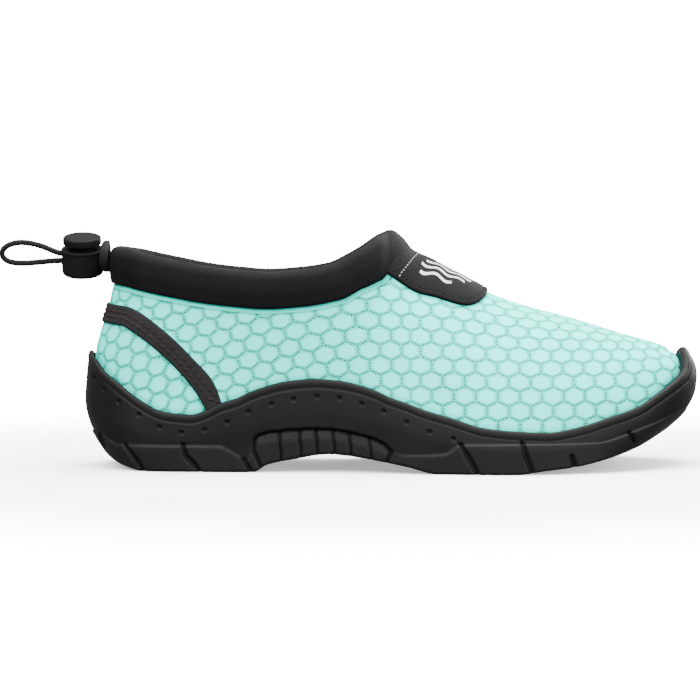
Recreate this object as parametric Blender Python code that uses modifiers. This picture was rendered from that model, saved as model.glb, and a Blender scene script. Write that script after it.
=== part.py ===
"""A water shoe for the right foot, with a moulded cup sole and a cord lock.

Units are metres, +Z is up, the toe points to +X and the outer side of the foot
to -Y. The shoe stands on its sole at z = 0. Every curved piece is worked out
from one surface, the last: the outer surface of the fabric upper.

A place on the last has two numbers. The angle runs round the foot in plan: 0 at
the heel, pi at the toe, negative on the outer side. The share up runs from 0 at
the footbed to 1 at the ridge of the foot.
"""

from functools import lru_cache
from math import asin, atan2, ceil, cos, hypot, pi, radians, sin, sqrt

import bmesh
import bpy
from mathutils import Matrix, Vector

COLLECTION = "water_shoe"

# Overall sizes
SOLE_LENGTH = 0.245
BALL_WIDTH = 0.094
WAIST_WIDTH = 0.067
HEEL_WIDTH = 0.066
TOE_SWING = 0.008
HEEL_HEIGHT = 0.0876
COLLAR_DIP_HEIGHT = 0.0781
INSTEP_HEIGHT = 0.0948
TOE_HEIGHT = 0.0455

# Clearances between pieces
GAP = 0.0003
FIT = 0.0005

# Sole
SOLE_WALL = 0.0033
LIP_WALL = 0.0024
TOE_BUMPER = 0.0045
BEAD_HEIGHT = 0.0025
BEAD_OUT = 0.0006
LUG_STEP = 0.0008
HEEL_ROUND = 0.034
TOE_ROUND = 0.045
TOE_FAN = 0.03
HEEL_TUCK = 0.009
TOE_TUCK = 0.014
EDGE_CHAMFER = 0.0012
FOOTBED_HEIGHT = 0.009
ARCH_LIFT = 0.0072
TOE_SPRING = 0.0148
SIDE_HEIGHT = 0.0452
LEDGE_HEIGHT = 0.0077
GROOVE_WIDTH = 0.0014
GROOVE_DEPTH = 0.0014
TREAD_WIDTH = 0.0022
TREAD_DEPTH = 0.0024
RIB_GAP = 0.0016

# Upper and what is sewn to it
UPPER_WALL = 0.0022
HEEL_LEAN = 0.0088
TOE_LEAN = 0.006
COLLAR_BAND = 0.0138
COLLAR_PAD = 0.0068
COLLAR_HEM = 0.0052
SLOT_FIT = 0.0009
TAPE_WIDTH = 0.0075
TAPE_THICKNESS = 0.0009
TAB_THICKNESS = 0.0011
TAB_DROP = 0.0141
INSOLE_THICKNESS = 0.003

# Cord lock and draw cord
CORD_DIAMETER = 0.0023
STRAND_SPACING = 0.0031
BARREL_DIAMETER = 0.017
BARREL_HEIGHT = 0.0109
BARREL_FLOOR = 0.0012
BARREL_RIM = 0.0006
BUTTON_DIAMETER = 0.0153
BUTTON_HEAD = 0.0022
BUTTON_DOME = 0.0009
STEM_DIAMETER = 0.01
BUTTON_TRAVEL = 0.0015
LOCK_LEAN = radians(15)
LOCK_REACH = 0.011
LOCK_DROP = 0.0061
CORD_TAB_WIDTH = 0.016
CORD_TAB_HEIGHT = 0.0127
CORD_TAB_DEPTH = 0.006

# How finely the curved pieces are faceted
COLLAR_STATIONS = 21
FOREFOOT_COLUMNS = 18
CROWDING = 0.4
CUP_ROWS = 3
UPPER_ROWS = 7
TAPE_STATIONS = 15
TURN_STEPS = 28

SIDES = {"outer": -1, "inner": 1}


def table(names, *rows):
    """Columns by name, from rows written by hand."""
    return dict(zip(names.split(), zip(*rows)))


class Curve:
    """A smooth line through a table's points that never overshoots them."""

    def __init__(self, xs, ys):
        self.xs, self.ys = list(xs), list(ys)
        steps = [b - a for a, b in zip(self.xs, self.xs[1:])]
        rises = [(b - a) / s for a, b, s in zip(self.ys, self.ys[1:], steps)]
        self.slopes = [rises[0]]
        for before, after, left, right in zip(rises, rises[1:], steps, steps[1:]):
            if before * after <= 0:
                self.slopes.append(0.0)
            else:
                first, second = 2 * right + left, right + 2 * left
                self.slopes.append((first + second) / (first / before + second / after))
        self.slopes.append(rises[-1])

    def __call__(self, x):
        xs, ys, slopes = self.xs, self.ys, self.slopes
        if x <= xs[0]:
            return ys[0]
        if x >= xs[-1]:
            return ys[-1]
        i = max(k for k in range(len(xs) - 1) if xs[k] <= x)
        step = xs[i + 1] - xs[i]
        t = (x - xs[i]) / step
        return (
            (1 + 2 * t) * (1 - t) ** 2 * ys[i]
            + t * (1 - t) ** 2 * step * slopes[i]
            + t * t * (3 - 2 * t) * ys[i + 1]
            + t * t * (t - 1) * step * slopes[i + 1]
        )


# Plan of the sole. along: share of the sole's length. width: the size that the
# row follows. outer, inner: share of that width on each side of the centre line.
PLAN = table(
    "along width outer inner",
    (0.00, HEEL_WIDTH, 0.500, 0.500),
    (0.12, HEEL_WIDTH, 0.500, 0.500),
    (0.22, HEEL_WIDTH, 0.510, 0.485),
    (0.32, WAIST_WIDTH, 0.530, 0.455),
    (0.41, WAIST_WIDTH, 0.560, 0.440),
    (0.50, WAIST_WIDTH, 0.625, 0.500),
    (0.59, BALL_WIDTH, 0.490, 0.425),
    (0.68, BALL_WIDTH, 0.530, 0.450),
    (0.74, BALL_WIDTH, 0.525, 0.455),
    (0.82, BALL_WIDTH, 0.480, 0.435),
    (0.90, BALL_WIDTH, 0.430, 0.395),
    (1.00, BALL_WIDTH, 0.400, 0.370),
)
# Centre line of the plan. swing: share of the toe's swing towards the big toe.
CENTRE = table(
    "along swing",
    (0.0, 0.0),
    (0.4, 0.0),
    (0.5, 0.08),
    (0.6, 0.22),
    (0.7, 0.42),
    (0.8, 0.64),
    (0.9, 0.85),
    (1.0, 1.0),
)
# Height of the footbed, as a share of its height under the heel.
FOOTBED = table(
    "along height",
    (0.0147, 2.25),
    (0.025, 1.85),
    (0.04, 1.5),
    (0.065, 1.2),
    (0.105, 1.0),
    (0.25, 1.0),
    (0.33, 1.22),
    (0.40, 1.42),
    (0.47, 1.28),
    (0.55, 0.9),
    (0.61, 0.78),
    (0.71, 0.83),
    (0.80, 1.06),
    (0.86, 1.4),
    (0.905, 1.85),
    (0.945, 2.35),
    (0.98, 2.85),
)
# Ridge of the foot, as a share of the instep's height. Behind the throat it
# rises into the leg, above the collar, where no piece reaches.
RIDGE = table(
    "along height",
    (0.00, 1.85),
    (0.25, 1.92),
    (0.35, 1.90),
    (0.40, 1.62),
    (0.425, 1.42),
    (0.45, 1.28),
    (0.4727, 1.125),
    (0.4893, 0.998),
    (0.4918, 0.992),
    (0.53, 0.897),
    (0.565, 0.854),
    (0.59, 0.820),
    (0.615, 0.787),
    (0.64, 0.752),
    (0.655, 0.731),
    (0.704, 0.684),
    (0.752, 0.649),
    (0.788, 0.625),
    (0.836, 0.588),
    (0.883, 0.554),
    (0.925, 0.528),
    (0.947, 0.515),
    (0.963, 0.504),
    (0.9735, 0.493),
    (0.98, 0.480),
)
# How full the cross-section of the foot is: 2 is an ellipse, more is boxier.
FULLNESS = table(
    "along power",
    (0.00, 2.2),
    (0.30, 2.2),
    (0.40, 2.0),
    (0.46, 1.95),
    (0.60, 1.9),
    (0.75, 2.0),
    (0.88, 2.3),
    (0.96, 2.8),
)
# Profile of the back. height: share of the heel's height.
# lean: share of the heel's lean towards the toe.
HEEL_PROFILE = table(
    "height lean",
    (0.34, 0.0),
    (0.51, 0.07),
    (0.57, 0.18),
    (0.64, 0.39),
    (0.71, 0.65),
    (0.78, 0.79),
    (0.84, 0.93),
    (0.92, 0.99),
    (1.10, 1.0),
)
# Profile of the front, in shares of the toe's height and of its lean backwards.
TOE_PROFILE = table(
    "height lean",
    (0.76, 0.0),
    (0.85, 0.10),
    (0.91, 0.27),
    (0.96, 0.53),
    (0.985, 0.76),
    (1.00, 1.0),
)
# Rim of the collar. rise: share of the way from the dip up to the heel's height,
# behind the dip, or up to the instep's height, in front of it.
DIP = 0.30
THROAT = 0.4918
COLLAR_RIM = table(
    "along rise",
    (0.02, 1.0),
    (0.056, 0.88),
    (0.105, 0.65),
    (0.154, 0.43),
    (0.203, 0.22),
    (0.252, 0.085),
    (DIP, 0.0),
    (0.35, 0.05),
    (0.40, 0.174),
    (0.424, 0.347),
    (0.448, 0.551),
    (0.4727, 0.79),
    (THROAT, 0.956),
)
# Wavy top edge of the sole. height: share of the side's height at the heel.
SOLE_EDGE = table(
    "along height",
    (0.0147, 1.0),
    (0.026, 0.935),
    (0.042, 0.84),
    (0.060, 0.767),
    (0.082, 0.673),
    (0.105, 0.586),
    (0.130, 0.515),
    (0.154, 0.491),
    (0.179, 0.482),
    (0.203, 0.518),
    (0.228, 0.584),
    (0.252, 0.624),
    (0.277, 0.688),
    (0.301, 0.732),
    (0.326, 0.768),
    (0.375, 0.794),
    (0.424, 0.772),
    (0.448, 0.741),
    (0.473, 0.695),
    (0.497, 0.635),
    (0.522, 0.600),
    (0.546, 0.538),
    (0.595, 0.460),
    (0.644, 0.381),
    (0.693, 0.352),
    (0.742, 0.341),
    (0.791, 0.381),
    (0.840, 0.456),
    (0.889, 0.544),
    (0.9192, 0.642),
    (0.9384, 0.712),
    (0.9576, 0.788),
    (0.9665, 0.830),
    (0.9717, 0.876),
    (0.9763, 0.934),
    (0.9792, 0.969),
    (0.9804, 0.987),
)
# Underside of the sole. arch, toe, heel: shares of the arch's lift, of the toe
# spring and of the bevel at the back of the heel.
HEEL_BEVEL = 0.0084
UNDERSIDE = table(
    "along heel arch toe",
    (0.000, 1.60, 0.0, 0.0),
    (0.029, 1.00, 0.0, 0.0),
    (0.043, 0.62, 0.0, 0.0),
    (0.066, 0.24, 0.0, 0.0),
    (0.105, 0.0, 0.0, 0.0),
    (0.277, 0.0, 0.0, 0.0),
    (0.301, 0.0, 0.42, 0.0),
    (0.350, 0.0, 0.76, 0.0),
    (0.375, 0.0, 0.93, 0.0),
    (0.399, 0.0, 1.0, 0.0),
    (0.424, 0.0, 0.94, 0.0),
    (0.473, 0.0, 0.69, 0.0),
    (0.522, 0.0, 0.37, 0.0),
    (0.571, 0.0, 0.0, 0.0),
    (0.694, 0.0, 0.0, 0.0),
    (0.742, 0.0, 0.0, 0.095),
    (0.791, 0.0, 0.0, 0.19),
    (0.840, 0.0, 0.0, 0.365),
    (0.889, 0.0, 0.0, 0.608),
    (0.925, 0.0, 0.0, 0.872),
    (0.943, 0.0, 0.0, 1.0),
    (0.984, 0.0, 0.0, 1.55),
)
# Ledge above the lugs. height: share of the ledge's height.
# step: share of the lugs' step outwards below it.
LEDGE = table(
    "along height step",
    (0.033, 1.60, 1.0),
    (0.063, 1.0, 1.0),
    (0.262, 1.0, 1.0),
    (0.275, 1.45, 0.0),
    (0.310, 1.74, 0.0),
    (0.354, 1.92, 0.0),
    (0.392, 1.92, 0.0),
    (0.433, 1.70, 0.0),
    (0.468, 1.42, 0.0),
    (0.491, 1.19, 0.0),
    (0.515, 0.62, 0.4),
    (0.589, 0.60, 0.8),
    (0.624, 1.0, 1.0),
    (0.824, 1.0, 1.0),
    (0.865, 1.25, 1.0),
    (0.892, 1.56, 1.0),
    (0.933, 2.03, 0.8),
    (0.960, 2.45, 0.5),
)
# Centre line of the heel tape, in shares of the sole's length and heel's height.
HEEL_TAPE = table(
    "along height",
    (0.0147, 0.699),
    (0.056, 0.685),
    (0.081, 0.651),
    (0.105, 0.605),
    (0.130, 0.556),
    (0.154, 0.499),
    (0.179, 0.422),
    (0.193, 0.370),
    (0.200, 0.333),
    (0.211, 0.266),
    (0.222, 0.190),
    (0.240, 0.060),
)
# Side edge of the instep tab. drop: how far it lies below the ridge, as a share
# of the tab's drop at its side.
INSTEP_TAB = table(
    "along drop",
    (0.495, 1.22),
    (0.524, 1.05),
    (0.548, 1.0),
    (0.573, 0.905),
    (0.590, 0.845),
    (0.603, 0.80),
    (0.615, 0.735),
    (0.628, 0.60),
    (0.641, 0.38),
    (0.650, 0.17),
    (0.6545, 0.0),
)
TAB_TIP = 0.6545
TAB_STATIONS = (0.0, 0.2, 0.4, 0.58, 0.74, 0.86, 0.94, 0.985)
TAB_LINES = (-1.0, -0.8, -0.55, -0.28, 0.0, 0.28, 0.55, 0.8, 1.0)

# Grooves between the lugs on the sole's side, from the ledge down.
# Shares of the sole's length and of the ledge's height.
SIDE_GROOVES = (
    ((0.031, 1.50), (0.038, 0.92)),
    ((0.068, 0.93), (0.080, 0.42), (0.105, -0.10)),
    ((0.164, 0.60), (0.179, 0.12), (0.184, -0.15)),
    ((0.250, 0.62), (0.266, 0.10), (0.270, -0.15)),
    ((0.616, 0.86), (0.634, -0.15)),
    ((0.716, 1.02), (0.721, 0.50), (0.731, -0.15)),
    ((0.787, 0.62), (0.797, -0.15)),
    ((0.884, 1.52), (0.888, 1.24)),
)
# Undercut line over the arch ribs, then the slanted gaps between the ribs.
ARCH_GROOVE = (
    (0.275, 1.45),
    (0.310, 1.74),
    (0.354, 1.92),
    (0.392, 1.92),
    (0.433, 1.70),
    (0.468, 1.42),
    (0.491, 1.19),
)
RIB_GAPS = (0.319, 0.351, 0.377, 0.404, 0.430, 0.462)
RIB_SLANT = 0.004
# Grooves across the tread and the channels along it, in shares of the length
# and, for the channels, of the width at the ball.
TREAD_GROOVES = (0.105, 0.184, 0.268, 0.600, 0.640, 0.690, 0.735, 0.797, 0.845)
TREAD_CHANNELS = (
    ((0.13, 0.0), (0.27, 0.0)),
    ((0.59, -0.13), (0.80, -0.10)),
    ((0.59, 0.17), (0.80, 0.20)),
)
# Loop of the draw cord behind the lock, in metres from the lock's middle.
CORD_LOOP = (
    (-0.0125, 0.0047),
    (-0.0155, 0.0060),
    (-0.0198, 0.0073),
    (-0.0246, 0.0078),
    (-0.0286, 0.0070),
    (-0.0311, 0.0054),
    (-0.0321, 0.0033),
    (-0.0312, 0.0011),
    (-0.0288, -0.0003),
    (-0.0246, -0.0008),
    (-0.0198, -0.0006),
    (-0.0155, -0.0002),
    (-0.0125, 0.0001),
)
CORD_STEP = 0.0034

HEEL_END = SOLE_WALL + GAP
TOE_END = SOLE_LENGTH - TOE_BUMPER - GAP


def last_x(angle):
    """Distance from the back of the sole to a column of the last."""
    return HEEL_END + (TOE_END - HEEL_END) * (1 - cos(angle)) / 2


def angle_at(x):
    """Angle of the column of the last that stands at x."""
    share = (x - HEEL_END) / (TOE_END - HEEL_END)
    return 2 * asin(sqrt(min(max(share, 0.0), 1.0)))


def fan(angle, up):
    """How far back a column leans on its way up, so that columns spread at the toe."""
    apart = pi - abs(angle)
    return TOE_FAN * apart * max(1 - apart / 1.2, 0.0) ** 2 * up * up


def by_length(rows, column, size=1.0):
    """A function of x for a table's column, in the size's own unit."""
    curve = Curve([along * SOLE_LENGTH for along in rows["along"]], rows[column])
    return lambda x: curve(x) * size


def by_angle(rows, column, size=1.0):
    """The same for an edge that turns round heel and toe, where x hardly moves."""
    curve = Curve([angle_at(along * SOLE_LENGTH) for along in rows["along"]], rows[column])
    return lambda angle: curve(abs(angle)) * size


PLAN_SIDE = {
    side: Curve(
        [along * SOLE_LENGTH for along in PLAN["along"]],
        [width * share for width, share in zip(PLAN["width"], PLAN[name])],
    )
    for name, side in SIDES.items()
}
centre_line = by_length(CENTRE, "swing", TOE_SWING)
footbed = by_length(FOOTBED, "height", FOOTBED_HEIGHT)
ridge_share = by_length(RIDGE, "height")
fullness = by_length(FULLNESS, "power")
heel_bevel = by_length(UNDERSIDE, "heel", HEEL_BEVEL)
arch_lift = by_length(UNDERSIDE, "arch", ARCH_LIFT)
toe_spring = by_length(UNDERSIDE, "toe", TOE_SPRING)
ledge_height = by_length(LEDGE, "height", LEDGE_HEIGHT)
ledge_step = by_length(LEDGE, "step", LUG_STEP)
sole_edge = by_angle(SOLE_EDGE, "height", SIDE_HEIGHT)
rim_rise = by_angle(COLLAR_RIM, "rise")
tape_height = by_length(HEEL_TAPE, "height", HEEL_HEIGHT)
tab_drop = by_length(INSTEP_TAB, "drop", TAB_DROP)
heel_lean = Curve(HEEL_PROFILE["height"], HEEL_PROFILE["lean"])
toe_lean = Curve(TOE_PROFILE["height"], TOE_PROFILE["lean"])

# The ridge meets the toe's own height at its front end.
RIDGE_END = RIDGE["height"][-1] * INSTEP_HEIGHT


def crown(x):
    """Height of the ridge of the foot."""
    forward = min(max((x / SOLE_LENGTH - THROAT) / (1 - THROAT), 0.0), 1.0)
    return ridge_share(x) * INSTEP_HEIGHT + (TOE_HEIGHT - RIDGE_END) * forward


def underside(x):
    """Height of the bottom of the sole."""
    return heel_bevel(x) + arch_lift(x) + toe_spring(x)


def rim_height(angle):
    """Height of the collar's rim."""
    behind = abs(angle) < angle_at(DIP * SOLE_LENGTH)
    end = HEEL_HEIGHT if behind else INSTEP_HEIGHT
    return COLLAR_DIP_HEIGHT + (end - COLLAR_DIP_HEIGHT) * rim_rise(angle)


def end_rounding(x):
    """1 along the foot, down to 0 at the ends of the last, as in a rounded plan."""
    heel = max(1 - (x - HEEL_END) / HEEL_ROUND, 0.0)
    toe = max(1 - (TOE_END - x) / TOE_ROUND, 0.0)
    return max(1 - heel**2.2, 0.0) ** (1 / 2.2) * max(1 - toe**2.3, 0.0) ** (1 / 2.3)


def heel_near(x):
    """1 at the back, fading over the length of the heel's rounding."""
    return max(1 - (x - HEEL_END) / (2 * HEEL_ROUND), 0.0) ** 2


def toe_near(x):
    """1 at the front, fading over the length of the toe's rounding."""
    return max(1 - (TOE_END - x) / TOE_ROUND, 0.0) ** 2


def half_width(x, side):
    """Half width of the last at the footbed, on one side."""
    inset = SOLE_WALL + GAP + LUG_STEP
    return (PLAN_SIDE[side](x) - inset) * end_rounding(x)


@lru_cache(maxsize=None)
def last_point(angle, up):
    """Point on the fabric's outer surface. Past the ridge it is the other side's."""
    if up > 1:
        angle, up = -angle, 2 - up
    if abs(angle) > pi:
        angle -= 2 * pi if angle > 0 else -2 * pi
    side = 1 if angle >= 0 else -1
    x = last_x(angle) - fan(angle, up)
    power = 2 / fullness(x)
    turn = min(max(up, 0.0), 1.0) * pi / 2
    z = footbed(x) + (crown(x) - footbed(x)) * sin(turn) ** power
    y = centre_line(x) + side * half_width(x, side) * max(cos(turn), 0.0) ** power
    back = toe_near(x) * TOE_LEAN * toe_lean(z / TOE_HEIGHT)
    return Vector((x + heel_near(x) * HEEL_LEAN * heel_lean(z / HEEL_HEIGHT) - back, y, z))


@lru_cache(maxsize=None)
def up_at(angle, z):
    """Share up at which a column of the last reaches a height."""
    up = 0.5
    for _ in range(12 if fan(angle, 1) else 1):
        x = last_x(angle) - fan(angle, up)
        share = (z - footbed(x)) / (crown(x) - footbed(x))
        up = asin(min(max(share, 0.0), 1.0) ** (fullness(x) / 2)) * 2 / pi
    return up


@lru_cache(maxsize=None)
def slopes(angle, up):
    """How the surface moves with the angle and with the share up."""
    low, step = max(up - 0.01, 0.0), 0.012
    along = (last_point(angle + step, up) - last_point(angle - step, up)) / (2 * step)
    upward = (last_point(angle, up + 0.01) - last_point(angle, low)) / (up + 0.01 - low)
    return along, upward


def normal(angle, up):
    along, upward = slopes(angle, max(up, 0.02))
    return upward.cross(along).normalized()


def off_last(angle, up, distance):
    """Point at a distance outside the fabric's outer surface, or inside below 0."""
    return last_point(angle, up) + normal(angle, up) * distance


def walk(place, vector, steps=4):
    """The place that lies a vector further, measured along the surface."""
    angle, up = place
    for _ in range(steps):
        along, upward = slopes(angle, up)
        part = vector / steps
        aa, au, uu = along.dot(along), along.dot(upward), upward.dot(upward)
        pa, pu = part.dot(along), part.dot(upward)
        det = aa * uu - au * au
        angle += (pa * uu - pu * au) / det
        up += (pu * aa - pa * au) / det
    return angle, up


def blend(first, second, share):
    return first + (second - first) * share


# Collar lines. The rim is sampled by its own length, so that the stations stay
# even where it turns across the instep.


def rim_places(side, count):
    """Places along the rim from the heel to the throat, evenly spaced."""
    throat, fine = angle_at(THROAT * SOLE_LENGTH), 240
    angles = [side * throat * (1 - (1 - i / fine) ** 2) for i in range(fine + 1)]
    places = [(a, up_at(a, rim_height(a))) for a in angles[:-1]] + [(side * throat, 1.0)]
    points = [last_point(*place) for place in places]
    lengths = [0.0]
    for before, after in zip(points, points[1:]):
        lengths.append(lengths[-1] + (after - before).length)
    chosen = []
    for k in range(count + 1):
        want = lengths[-1] * k / count
        i = min(max(j for j in range(fine + 1) if lengths[j] <= want), fine - 1)
        t = (want - lengths[i]) / (lengths[i + 1] - lengths[i])
        (a, u), (b, v) = places[i], places[i + 1]
        chosen.append((blend(a, b, t), blend(u, v, t)))
    return chosen


def collar_ring():
    """Rim places right round: heel, outer side, throat, inner side."""
    outer = rim_places(-1, COLLAR_STATIONS)
    inner = rim_places(1, COLLAR_STATIONS)
    return outer + inner[-2:0:-1]


RIM = collar_ring()


@lru_cache(maxsize=None)
def below_rim(station, distance):
    """The place at a distance from the rim, square to it, along the surface."""
    before, here, after = (RIM[(station + k) % len(RIM)] for k in (-1, 0, 1))
    tangent = (last_point(*after) - last_point(*before)).normalized()
    down = normal(*here).cross(tangent).normalized()
    if down.z > 0:
        down.negate()
    if station == COLLAR_STATIONS:
        forward = slopes(*walk(here, down * 0.001))[0]
        down = (forward if forward.x > 0 else -forward).normalized()
    return walk(here, down * distance, steps=6)


FABRIC_EDGE = COLLAR_BAND * 0.72
SLOT_END = COLLAR_BAND * 0.58


def column_places():
    """Angle and top of each column, from the heel round the outer side."""
    edge = [below_rim(k, FABRIC_EDGE) for k in range(2 * COLLAR_STATIONS)]
    edge[0] = (0.0, edge[0][1])
    throat = abs(edge[COLLAR_STATIONS][0])
    front = []
    for k in range(1, FOREFOOT_COLUMNS + 1):
        share = k / FOREFOOT_COLUMNS
        share -= CROWDING * sin(2 * pi * share) / (2 * pi)
        front.append((-blend(throat, pi, share), 1.0))
    outer = edge[:COLLAR_STATIONS] + [(-throat, 1.0)] + front
    inner = [(-angle, up) for angle, up in front[-2::-1]] + [(throat, 1.0)]
    return outer + inner + edge[COLLAR_STATIONS + 1 :]


COLUMNS = column_places()
COUNT = len(COLUMNS)
TOE_COLUMN = COLLAR_STATIONS + FOREFOOT_COLUMNS


def opposite(column):
    """The column at the same place on the foot's other side."""
    return (COUNT - column) % COUNT


# Sole


@lru_cache(maxsize=None)
def wall_full(angle):
    """Thickness of the sole's side wall below its widest line."""
    return blend(SOLE_WALL, TOE_BUMPER, toe_near(last_x(angle)))


@lru_cache(maxsize=None)
def tuck(angle):
    """How far the wall draws in under heel and toe, down to its bottom edge."""
    x = last_x(angle)
    return HEEL_TUCK * heel_near(x) ** 2 + TOE_TUCK * toe_near(x) + EDGE_CHAMFER


def wall_point(angle, z, distance):
    """Point off the last at a height, also below the footbed."""
    x = last_x(angle)
    if z >= footbed(x):
        return off_last(angle, up_at(angle, z), distance)
    point = off_last(angle, 0.0, distance)
    point.z = z
    return point


@lru_cache(maxsize=None)
def bottom_edge(angle):
    """The sole's lowest point at a column."""
    step = ledge_step(last_x(angle))
    distance = GAP + wall_full(angle) + step - tuck(angle)
    point = off_last(angle, 0.0, distance)
    point.z = underside(point.x)
    return point


def outside(angle, z):
    """Distance from the last to the sole's outer surface at a height."""
    top, low = sole_edge(angle), bottom_edge(angle).z
    widest = blend(low, top, 0.55)
    if z >= widest:
        return GAP + blend(wall_full(angle), LIP_WALL, (z - widest) / (top - widest))
    step = ledge_step(last_x(angle)) if z < ledge(angle) else 0.0
    drawn_in = (tuck(angle) - EDGE_CHAMFER) * ((widest - z) / (widest - low)) ** 2
    return GAP + wall_full(angle) + step - drawn_in


@lru_cache(maxsize=None)
def ledge(angle):
    """Height of the ledge above the lugs."""
    low = bottom_edge(angle)
    return max(ledge_height(low.x), low.z + 3 * EDGE_CHAMFER)


def sole_profile(angle):
    """Section of the sole at a column, from the footbed's edge over the lip."""
    top = up_at(angle, sole_edge(angle))
    rise = slopes(angle, top)[1].length
    points = [off_last(angle, top * j / CUP_ROWS, GAP) for j in range(CUP_ROWS + 1)]
    lip = GAP + LIP_WALL
    bead = top - BEAD_HEIGHT / rise
    points += [
        off_last(angle, top + 0.3 * LIP_WALL / rise, GAP + 0.45 * LIP_WALL),
        off_last(angle, blend(top, bead, 0.2), lip + 0.7 * BEAD_OUT),
        off_last(angle, blend(top, bead, 0.7), lip + BEAD_OUT),
        off_last(angle, bead, lip),
    ]
    low, upper = bottom_edge(angle).z, points[-1].z
    shelf = ledge(angle)
    fall = min(EDGE_CHAMFER, (shelf - low) / 3) / 2
    heights = [blend(upper, shelf + fall, share) for share in (0.25, 0.52, 0.78)]
    heights += [shelf + fall, shelf - fall, low + 2 * fall]
    points += [wall_point(angle, z, outside(angle, z)) for z in heights]
    return points + [bottom_edge(angle).copy()]


def join_columns(mesh, profiles, low_cap, high_cap):
    """Closed solid from one section at each column, capped across the foot."""
    verts = [[mesh.verts.new(point) for point in profile] for profile in profiles]
    for i in range(COUNT):
        here, there = verts[i], verts[(i + 1) % COUNT]
        for j in range(len(here) - 1):
            mesh.faces.new((here[j], there[j], there[j + 1], here[j + 1]))
    for row in (low_cap, high_cap):
        for i in range(TOE_COLUMN):
            corners = [verts[k][row] for k in (i, i + 1, opposite(i + 1), opposite(i))]
            mesh.faces.new(list(dict.fromkeys(corners)))


def across_groove(along):
    """Cutter for one groove across the tread."""
    x = along * SOLE_LENGTH
    top = underside(x) + TREAD_DEPTH
    return box((x, 0, top / 2 - TREAD_DEPTH), (TREAD_WIDTH, 2 * BALL_WIDTH, top + 2 * TREAD_DEPTH))


def along_channel(ends):
    """Cutter for one channel along the tread."""
    (start, left), (stop, right) = ends
    first = Vector((start * SOLE_LENGTH, left * BALL_WIDTH, 0))
    second = Vector((stop * SOLE_LENGTH, right * BALL_WIDTH, 0))
    reach = second - first
    top = TREAD_DEPTH * 0.8 + max(underside(first.x), underside(second.x))
    corners = box((0, 0, top / 2 - TREAD_DEPTH), (reach.length, TREAD_WIDTH * 1.3, top + 2 * TREAD_DEPTH))
    turn = Matrix.Rotation(atan2(reach.y, reach.x), 4, "Z")
    place = Matrix.Translation((first + second) / 2) @ turn
    corners.transform(place)
    return corners


def on_side(side, x, z):
    """Point and outward direction on the sole's outer wall at x and a height."""
    low, high = 0.0, pi
    for _ in range(24):
        angle = side * (low + high) / 2
        point = wall_point(angle, z, outside(angle, z))
        low, high = (abs(angle), high) if point.x < x else (low, abs(angle))
    out = normal(angle, max(up_at(angle, z), 0.05))
    return point, Vector((out.x, out.y, 0)).normalized()


def side_groove(side, path, width, depth):
    """Cutter for a groove that follows the sole's outer wall."""
    places = [on_side(side, x, z) for x, z in path]
    rings = []
    for i, (point, out) in enumerate(places):
        before, after = places[max(i - 1, 0)][0], places[min(i + 1, len(places) - 1)][0]
        across = (after - before).cross(out).normalized() * width / 2
        inner, outer = point - out * depth, point + out * 2 * depth
        rings.append((inner - across, inner + across, outer + across, outer - across))
    mesh = bmesh.new()
    verts = [[mesh.verts.new(corner) for corner in ring] for ring in rings]
    for here, there in zip(verts, verts[1:]):
        for k in range(4):
            mesh.faces.new((here[k], there[k], there[(k + 1) % 4], here[(k + 1) % 4]))
    mesh.faces.new(verts[0])
    mesh.faces.new(verts[-1][::-1])
    bmesh.ops.recalc_face_normals(mesh, faces=mesh.faces)
    return mesh


def in_metres(path):
    """A path on the sole's side, from shares of its length and ledge height."""
    return [(along * SOLE_LENGTH, up * LEDGE_HEIGHT) for along, up in path]


def rib_gap(along):
    """Path of one gap between arch ribs, from below the arch groove down."""
    x = along * SOLE_LENGTH
    top = ledge_height(x) - 1.3 * GROOVE_WIDTH
    return [(x, top), (x + RIB_SLANT, underside(x + RIB_SLANT) - RIB_GAP)]


def make_sole():
    mesh = bmesh.new()
    join_columns(mesh, [sole_profile(angle) for angle, _ in COLUMNS], 0, -1)
    sole = add_mesh("sole", mesh, "sole_rubber", smooth=35)
    grooves = [
        side_groove(side, in_metres(path), GROOVE_WIDTH, GROOVE_DEPTH)
        for side in SIDES.values()
        for path in SIDE_GROOVES + (ARCH_GROOVE,)
    ]
    gaps = [
        side_groove(side, rib_gap(along), RIB_GAP, 1.2 * GROOVE_DEPTH)
        for side in SIDES.values()
        for along in RIB_GAPS
    ]
    cut(sole, "side_groove_cutter", grooves)
    cut(sole, "rib_gap_cutter", gaps)
    cut(sole, "tread_cutter", [across_groove(along) for along in TREAD_GROOVES])
    cut(sole, "channel_cutter", [along_channel(ends) for ends in TREAD_CHANNELS])
    return sole


# Upper, collar and what is sewn on


def upper_shares(angle, top):
    """Shares up of a column's points, from the footbed to its top."""
    bottom = up_at(angle, footbed(last_x(angle)) + GAP)
    edge = up_at(angle, sole_edge(angle))
    cup = [edge * j / CUP_ROWS for j in range(1, CUP_ROWS + 1)]
    steps = [1 - (1 - j / UPPER_ROWS) ** 1.3 for j in range(1, UPPER_ROWS + 1)]
    free = [blend(edge, top, step) for step in steps]
    return [bottom] + cup + free


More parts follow.
